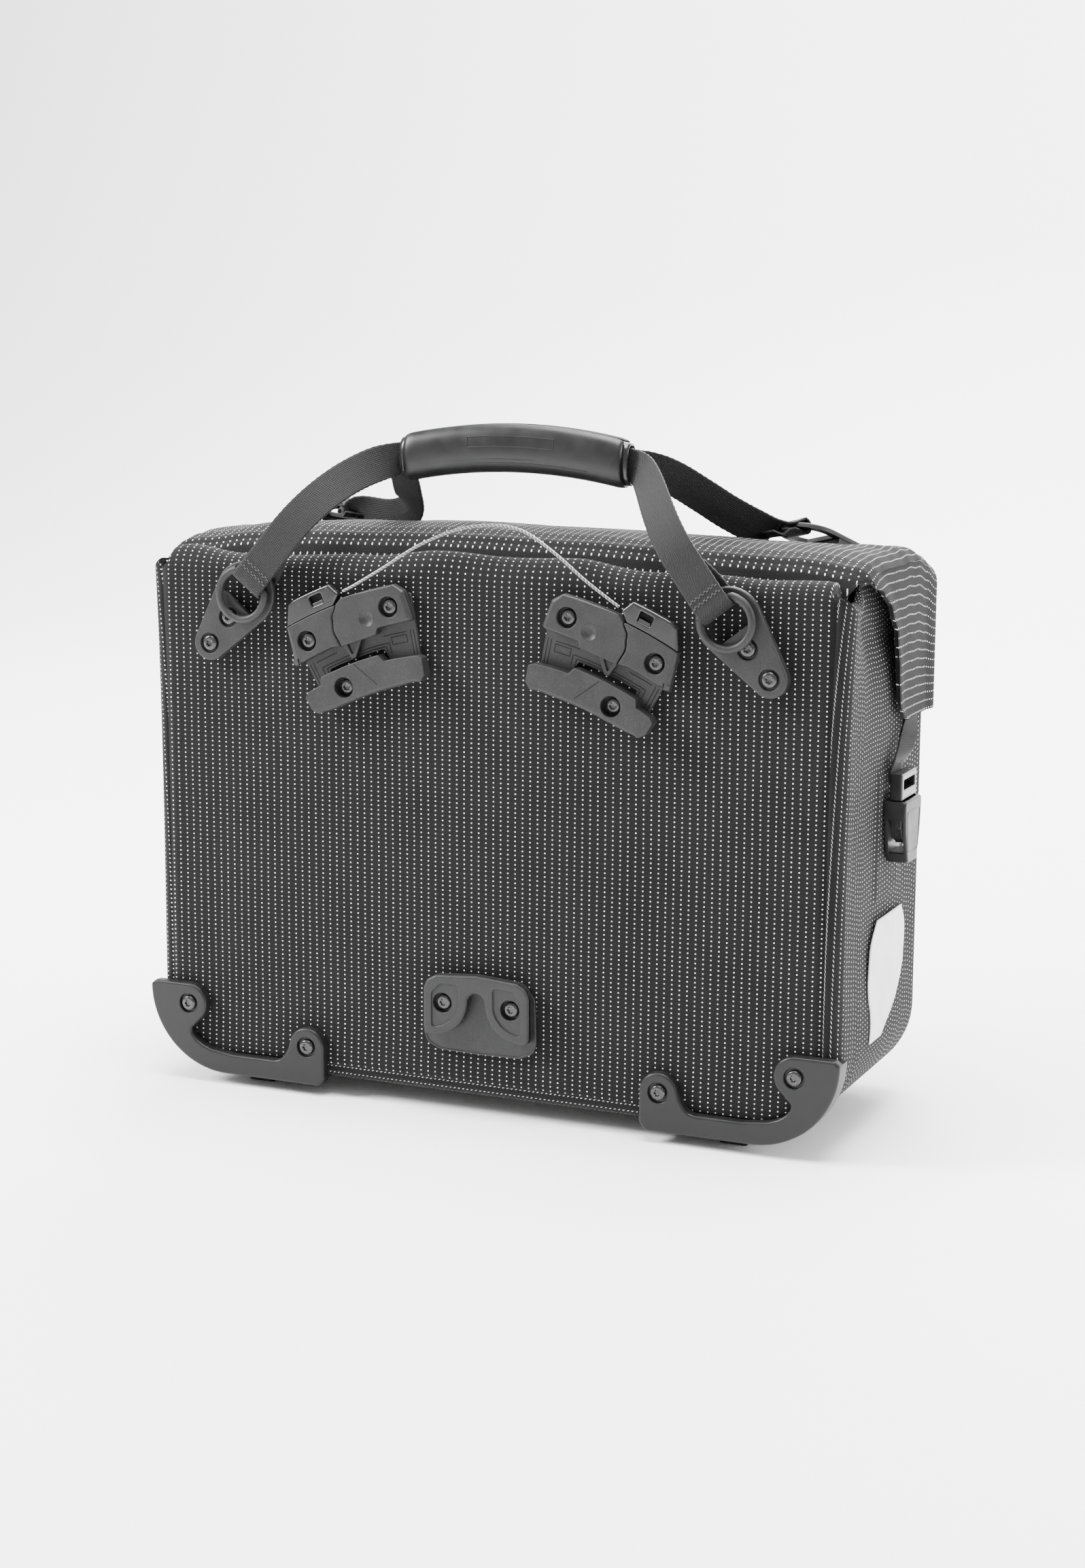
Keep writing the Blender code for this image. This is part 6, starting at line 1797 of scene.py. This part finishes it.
@dataclass
class LowerHook:
    """Lower rack hook: a base plate under a cap with a slot."""

    half: float = 0.0346
    low: float = 0.0362
    high: float = 0.0800
    cap_half: float = 0.0323
    cap_low: float = 0.0462
    cap_high: float = 0.0830
    proud: float = 0.0085
    slot: float = 0.0053
    slot_top: float = 0.0727
    screw: Flat = (0.0207, 0.0655)

    def build(self) -> None:
        """Make the plate, the cap and their screws."""
        seat = HOOK_SEAT
        half, low, high = self.half, self.low, self.high
        right = [(0.0, low), (half - 0.0100, low + 0.0005), (half - 0.0020, low + 0.0042), (half, low + 0.0100)]
        right += [(half - 0.0010, high - 0.0080), (half - 0.0080, high)]
        outline = wound(rounded(whole(right)[:-1], 0.006))
        piece = Piece("lower_plate_moulding", HOOK_MATTE).plate(outline, GAP, seat - 0.0004, 0.0004)
        rim = inset(outline, 0.0012)
        piece.plate(outline, GAP + 0.0002, seat, 0.0004, (rim,))
        piece.done(Slot.MATTE, "lower_hook_plate")
        self.cap(seat + GAP)

    def cap(self, seat: float) -> None:
        """Cap with its flared slot, sunk pads and thin ledges."""
        half, low, high, slot = self.cap_half, self.cap_low, self.cap_high, self.slot
        arch = (0.0, self.slot_top - slot)
        flare = [(slot + 0.0002, arch[1] - 0.0020), (slot + 0.0008, arch[1] - 0.0050),
                 (slot + 0.0024, arch[1] - 0.0090), (slot + 0.0046, low + 0.0084), (slot + 0.0080, low + 0.0052),
                 (slot + 0.0120, low + 0.0027), (slot + 0.0165, low + 0.0010), (half - 0.0060, low)]
        right = flare + [(half - 0.0012, low + 0.0006), (half, low + 0.0040), (half, high - 0.0100)]
        right += [(half - 0.0020, high - 0.0050), (half - 0.0075, high - 0.0018)]
        outline = arc(arch, slot, 90, 0, 12) + right + [(0.0, high)] + mirrored(right, -1)[::-1]
        outline = rounded(outline + arc(arch, slot, 180, 90, 12)[:-1], 0.003)
        pockets = [HEAD.ring((side * self.screw[0], self.screw[1])) for side in (-1, 1)]
        pads = []
        for side in (-1, 1):
            pad = [(slot + 0.0052, high - 0.0062), (slot + 0.0054, arch[1] - 0.0030), (slot + 0.0072, low + 0.0138),
                   (slot + 0.0104, low + 0.0098), (slot + 0.0150, low + 0.0068), (half - 0.0052, low + 0.0046),
                   (half - 0.0052, high - 0.0120), (half - 0.0105, high - 0.0066)]
            pads.append(rounded(mirrored(pad, side), 0.002))
        piece = Piece("lower_cap_moulding", HOOK_MATTE)
        piece.plate(outline, seat, self.proud - 0.0009, 0.0001, tuple(pockets), steps=1)
        piece.plate(outline, seat + 0.003, self.proud, 0.0016, tuple(pads), steps=5)
        for side in Side:
            spot = (side.value * self.screw[0], self.screw[1])
            HEAD.fit(piece, seat, f"lower_screw_{side.word}", f"lower_hook_screw_{side.word}", spot)
        piece.done(Slot.MATTE, "lower_hook_cap")


@dataclass
class CornerGuard:
    """Corner guard with its flanges and foot, and the foot under the front edge."""

    side: Side
    half: float = BODY_HALF
    bottom: float = BODY_BOTTOM
    corner: float = BODY_CORNER
    proud: float = 0.0060
    wall: float = 0.0030
    outer: Flat = (0.1860, 0.0464)
    inner: Flat = (0.1084, 0.0288)
    outer_boss: float = 0.0118
    inner_boss: float = 0.0112
    bar: float = 0.0121
    inner_sweep: tuple[Flat, ...] = ((0.0125, 0.0075), (0.0153, 0.0032), (0.0178, 0.0010), (0.0210, 0.0))
    outer_sweep: tuple[Flat, ...] = ((0.0145, 0.0018), (0.0085, 0.0040), (0.0045, 0.0068), (0.0020, 0.0100),
                                     (0.0016, 0.0128))
    foot_centre: float = 0.1468
    foot_tread: float = 0.00775
    foot_root: float = 0.0110
    foot_length: float = 0.015
    foot_trim: float = 0.0006

    def outline(self) -> list[Flat]:
        """Outline of the guard's face."""
        centre = (self.half - self.corner, self.bottom + self.corner)
        radius = self.corner + GAP + self.wall
        floor = centre[1] - radius
        bar, inner, outer = floor + self.bar, self.inner, self.outer
        left, top = inner[0] - self.inner_boss, outer[1] + self.outer_boss
        points = [(left + 0.0037, floor), (left, floor + 0.0045)]
        points += arc(inner, self.inner_boss, 180, 15, 24)
        points += [(inner[0] + dx, bar + dz) for dx, dz in self.inner_sweep]
        points += [(centre[0] - 0.005, bar)]
        points += [(outer[0] - dx, bar + dz) for dx, dz in self.outer_sweep]
        points += arc(outer, self.outer_boss, 219, 90, 24)
        points += [(centre[0] + radius - 0.0030, top)]
        points += arc(centre, radius, 0, -90, 40)
        return mirrored(rounded(points, 0.003), self.side.value)

    def build(self) -> None:
        """Make the guard, its screws, its foot and the front foot."""
        word, sign = self.side.word, self.side.value
        centre = (self.half - self.corner, self.bottom + self.corner)
        inner_radius = self.corner + GAP
        outer_radius = inner_radius + self.wall
        spots = {"outer": (sign * self.outer[0], self.outer[1]), "inner": (sign * self.inner[0], self.inner[1])}
        pockets = tuple(HEAD.ring(spot) for spot in spots.values())
        piece = Piece(f"corner_guard_{word}_moulding", GUARD_SATIN)
        piece.plate(self.outline(), GAP, self.proud, 0.0017, pockets, steps=5)
        floor = centre[1] - outer_radius
        start = self.inner[0] - self.inner_boss + 0.0045
        band = arc(centre, outer_radius - 0.0002, 0, -90, 40) + [(start, floor + 0.0002)]
        band += [(start, floor + self.wall)] + arc(centre, inner_radius, -90, 0, 40)
        band = mirrored(band, sign)
        piece.plate(band, -self.proud * 0.4, 0.0085, 0.0008, place=BACK @ DOWN_THE_PLATE)
        ends = sorted((sign * (start + 0.001), sign * (centre[0] - 0.001)))
        strip = rounded(box(ends[0], 0.0060, ends[1], 0.0270), 0.003)
        piece.plate(strip, floor + 2 * GAP, floor + self.wall - GAP, 0.0003, place=Matrix.Identity(4))
        self.foot(piece, 0.0100, floor + 0.001)
        for label, spot in spots.items():
            HEAD.fit(piece, GAP, f"guard_{word}_{label}_screw", f"guard_screw_{label}_{word}", spot)
        piece.done(Slot.MATTE, f"corner_guard_{word}")
        foot = Piece(f"front_foot_{word}_moulding", GUARD_SATIN)
        self.foot(foot, 0.1230, self.bottom - GAP)
        foot.done(Slot.MATTE, f"front_foot_{word}")

    def foot(self, piece: Piece, back: float, top: float) -> None:
        """Add a wedge foot to a piece, its rear face at a depth and its top at a height."""
        rings = []
        for share in (0.0, 0.04, 0.12, 1.0):
            trim = self.foot_trim * (share == 0.0)
            reach = self.foot_tread + (self.foot_root - self.foot_tread) * share - trim
            ring = rounded(box(-reach, back + trim, reach, back + self.foot_length - trim), 0.0015)
            rings.append([(self.side.value * self.foot_centre + x, y, top * share) for x, y in ring])
        piece.loft(rings)


@dataclass
class SideBuckle:
    """Fastened buckle on the gusset, and its twisted strap up to the lid's wing."""

    side: Side
    y: float = 0.0860
    bottom: float = 0.1504
    height: float = 0.0350
    half: float = 0.0150
    thickness: float = 0.0132
    wall: float = 0.0020
    plug_height: float = 0.0150
    plug_half: float = 0.0135
    plug_thickness: float = 0.0070
    webbing: float = WEB_THICK
    width: float = WEB_WIDTH
    bar: float = 0.0035
    wing_cloth: float = 0.0016

    def place(self) -> Matrix:
        """Frame on the gusset: across runs to the front, along runs up, out leaves the bag."""
        sign = self.side.value
        return Matrix(((0, 0, sign, sign * BODY_HALF), (1, 0, 0, self.y), (0, 1, 0, 0), (0, 0, 0, 1)))

    def build(self) -> None:
        """Make the socket, the plug and the strap."""
        low, top, half = self.bottom, self.bottom + self.height, self.half
        self.socket(low, top, half, half * 0.55)
        middle = GAP + self.thickness / 2
        self.plug(low, top, half, middle)
        self.strap(top + self.plug_height, middle)

    def shell(self, low: float, top: float, half: float, foot: float) -> list[Flat]:
        """Outline of the socket."""
        right = [(foot, low), (half - 0.0040, low + 0.0080), (half - 0.0012, low + 0.0180), (half, top - 0.0060),
                 (half, top)]
        return rounded(whole(right), 0.0025)

    def socket(self, low: float, top: float, half: float, foot: float) -> None:
        """Socket: two faces joined by side rails with open windows."""
        word, place = self.side.word, self.place()
        outline = self.shell(low, top, half, foot)
        piece = Piece(f"buckle_socket_{word}_moulding", GUARD_SATIN)
        flip = place @ DOWN_THE_PLATE
        piece.plate(outline, self.thickness - self.wall, self.thickness, 0.0009, place=place, steps=4)
        piece.plate(outline, -2 * GAP - self.wall, -2 * GAP, 0.0006, place=flip, steps=3)
        inner_low, inner_high = 2 * GAP + self.wall - 0.0003, self.thickness - self.wall + 0.0003
        for sign in (-1, 1):
            head = [(half, top), (half, top - 0.0100), (half - self.wall, top - 0.0100), (half - self.wall, top)]
            piece.plate(mirrored(head, sign), inner_low, inner_high, 0.0001, place=place, steps=1)
        base = [(foot, low), (half - 0.0052, low + 0.0058), (-half + 0.0052, low + 0.0058), (-foot, low)]
        piece.plate(rounded(base, 0.001), inner_low, inner_high, 0.0001, place=place, steps=1)
        ledge = rounded([(-half * 0.62, low + 0.006), (half * 0.62, low + 0.006), (half * 0.80, top - 0.006),
                         (-half * 0.80, top - 0.006)], 0.003)
        line = [Vector((x, z, self.thickness - 0.00005)) for x, z in ledge]
        piece.tube(line, 0.0003, 6, True, place, up=UPWARD)
        piece.done(Slot.MATTE, f"buckle_socket_{word}")

    def plug(self, low: float, top: float, half: float, middle: float) -> None:
        """Plug with its prongs and the slot that the strap passes through."""
        word, place = self.side.word, self.place()
        under, over = middle - self.plug_thickness / 2, middle + self.plug_thickness / 2
        head, high = self.plug_half, top + self.plug_height
        prong = half - self.wall - 2 * GAP
        lift = top - 0.0040
        shape = [(head, high), (head, top + GAP), (prong, top + GAP), (prong - 0.0004, low + 0.0200),
                 (prong - 0.0040, low + 0.0125), (prong - 0.0058, low + 0.0150), (prong - 0.0048, lift - 0.0030),
                 (0.0022, lift - 0.0030), (0.0022, low + 0.0100)]
        outline = rounded(whole(shape), 0.0010)
        slot, bar = self.width / 2 + 2 * GAP, self.bar
        hole = rounded(box(-slot, high - bar - 0.0055, slot, high - bar), 0.001)
        piece = Piece(f"buckle_plug_{word}_moulding", SLIDER_GLOSS)
        piece.plate(outline, middle, over, 0.0008, (hole,), place, steps=3)
        piece.plate(outline, -middle, -under, 0.0008, (hole,), place @ DOWN_THE_PLATE, steps=3)
        piece.done(Slot.GLOSS, f"buckle_plug_{word}")

    def strap(self, head: float, out: float) -> None:
        """Strap that twists from the plug up behind the wing."""
        word, place, bar = self.side.word, self.place(), self.bar
        free = WING_FOOT - head
        behind = out - (self.plug_thickness / 2 + GAP + self.webbing / 2) - GAP
        tuck = (WING_FACE - self.wing_cloth - BODY_HALF) / 2
        knots = [(0.0, head - 2 * bar, behind + 4 * GAP, 0), (0.0, head - bar, behind, 0),
                 (0.0, head + free * 0.04, behind, 0), (0.0, head + free * 0.24, out * 0.70, 15),
                 (0.0060, head + free * 0.44, out * 0.82, 40), (0.0140, head + free * 0.66, out * 0.66, 45),
                 (0.0215, head + free * 0.83, out * 0.45, 25), (0.0270, head + free * 0.96, tuck + GAP, 8),
                 (0.0300, WING_FOOT + 0.0036, tuck, 0), (0.0300, WING_FOOT + 0.0120, tuck, 0)]
        line = smooth_line([Vector(k[:3]) for k in knots], 0.0012)
        heights = [(k[1], float(k[3])) for k in knots]
        rows = []
        for i, point in enumerate(line):
            turn = math.radians(along(heights, point.y))
            across = Vector((math.cos(turn), 0.0, math.sin(turn) * 0.35)) * self.width / 2
            saw = 1 + 0.012 * (1 if i % 2 else -1)
            rows.append([place @ (point + across * t * (saw if abs(t) == 1 else 1)) for t in WEB_ACROSS])
        piece = Piece(f"buckle_webbing_{word}", WEBBING).grid(rows)
        piece.sheet(self.webbing, 0.0).done(Slot.WEBBING, f"buckle_strap_{word}", sharp=50)


@dataclass
class Patch:
    """Reflective patch on the gusset."""

    side: Side
    back: float = 0.050
    length: float = 0.067
    bottom: float = 0.052
    height: float = 0.068
    thickness: float = 0.0006
    rows: tuple[Spot, ...] = (
        (0.00, 0.08, 0.34), (0.09, 0.10, 0.56), (0.20, 0.12, 0.75), (0.34, 0.05, 0.87), (0.48, 0.00, 0.97),
        (0.66, 0.02, 0.99), (0.86, 0.05, 1.00), (0.96, 0.18, 0.94), (1.00, 0.26, 0.84))

    def build(self, body: ClothBody) -> None:
        """Make the patch on the gusset's curve."""
        backs, fronts = [(r, b) for r, b, _ in self.rows], [(r, f) for r, _, f in self.rows]
        grid = []
        for share in spread(0.0, 1.0, 41):
            z = self.bottom + self.height * share
            x = body.half_width(z)
            drop = body.bottom + body.corner - z
            if drop > 0:
                x = body.half - body.corner + math.sqrt(body.corner ** 2 - drop ** 2)
            near = [min(1.0, max(0.0, share + shift)) for shift in spread(-0.10, 0.10, 11)]
            first, last = (sum(along(edge, here) for here in near) / len(near) for edge in (backs, fronts))
            ends = spread(self.back + self.length * first, self.back + self.length * last, 31)
            out = x + GAP + self.thickness / 2
            grid.append([(self.side.value * out, y, z) for y in ends])
        flat = [[(y, z) for _, y, z in row] for row in grid]
        piece = Piece(f"reflective_patch_{self.side.word}", FILM).grid(grid, flat)
        piece.sheet(self.thickness, 0.0).done(Slot.FILM, f"reflector_{self.side.word}", sharp=50)


@dataclass
class ReleaseCable:
    """Cable between the two release sliders."""

    radius: float = 0.0009
    route: tuple[Spot, ...] = (
        (-0.0826, -0.0050, 0.2934), (-0.0760, -0.0050, 0.2968), (-0.0590, -0.0045, 0.3068), (-0.0370, -0.0030, 0.3205),
        (-0.0150, -0.0005, 0.3298), (0.0050, 0.0010, 0.3330), (0.0240, 0.0000, 0.3308), (0.0430, -0.0028, 0.3208),
        (0.0620, -0.0045, 0.3070), (0.0770, -0.0050, 0.2970), (0.0826, -0.0050, 0.2934))

    def build(self) -> None:
        """Make the cable."""
        line = smooth_line([Vector(p) for p in self.route], 0.0016)
        Piece("release_cable_strands", SHEATH).tube(line, self.radius, 12).done(Slot.SHEATH, "release_cable", sharp=60)


def main() -> None:
    """Dress the whole bag and report its pieces."""
    logging.basicConfig(level=logging.INFO, format="%(message)s")
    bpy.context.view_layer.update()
    Studio().build()
    body, lid = ClothBody(), Lid()
    body.build(lid)
    lid.build()
    frames = RingPlates().build(lid)
    Handle().build(frames, lid)
    LowerHook().build()
    ReleaseCable().build()
    for side in Side:
        RackHook(side).build()
        CornerGuard(side).build()
        SideBuckle(side).build()
        Patch(side).build(body)


if __name__ == "__main__":
    main()
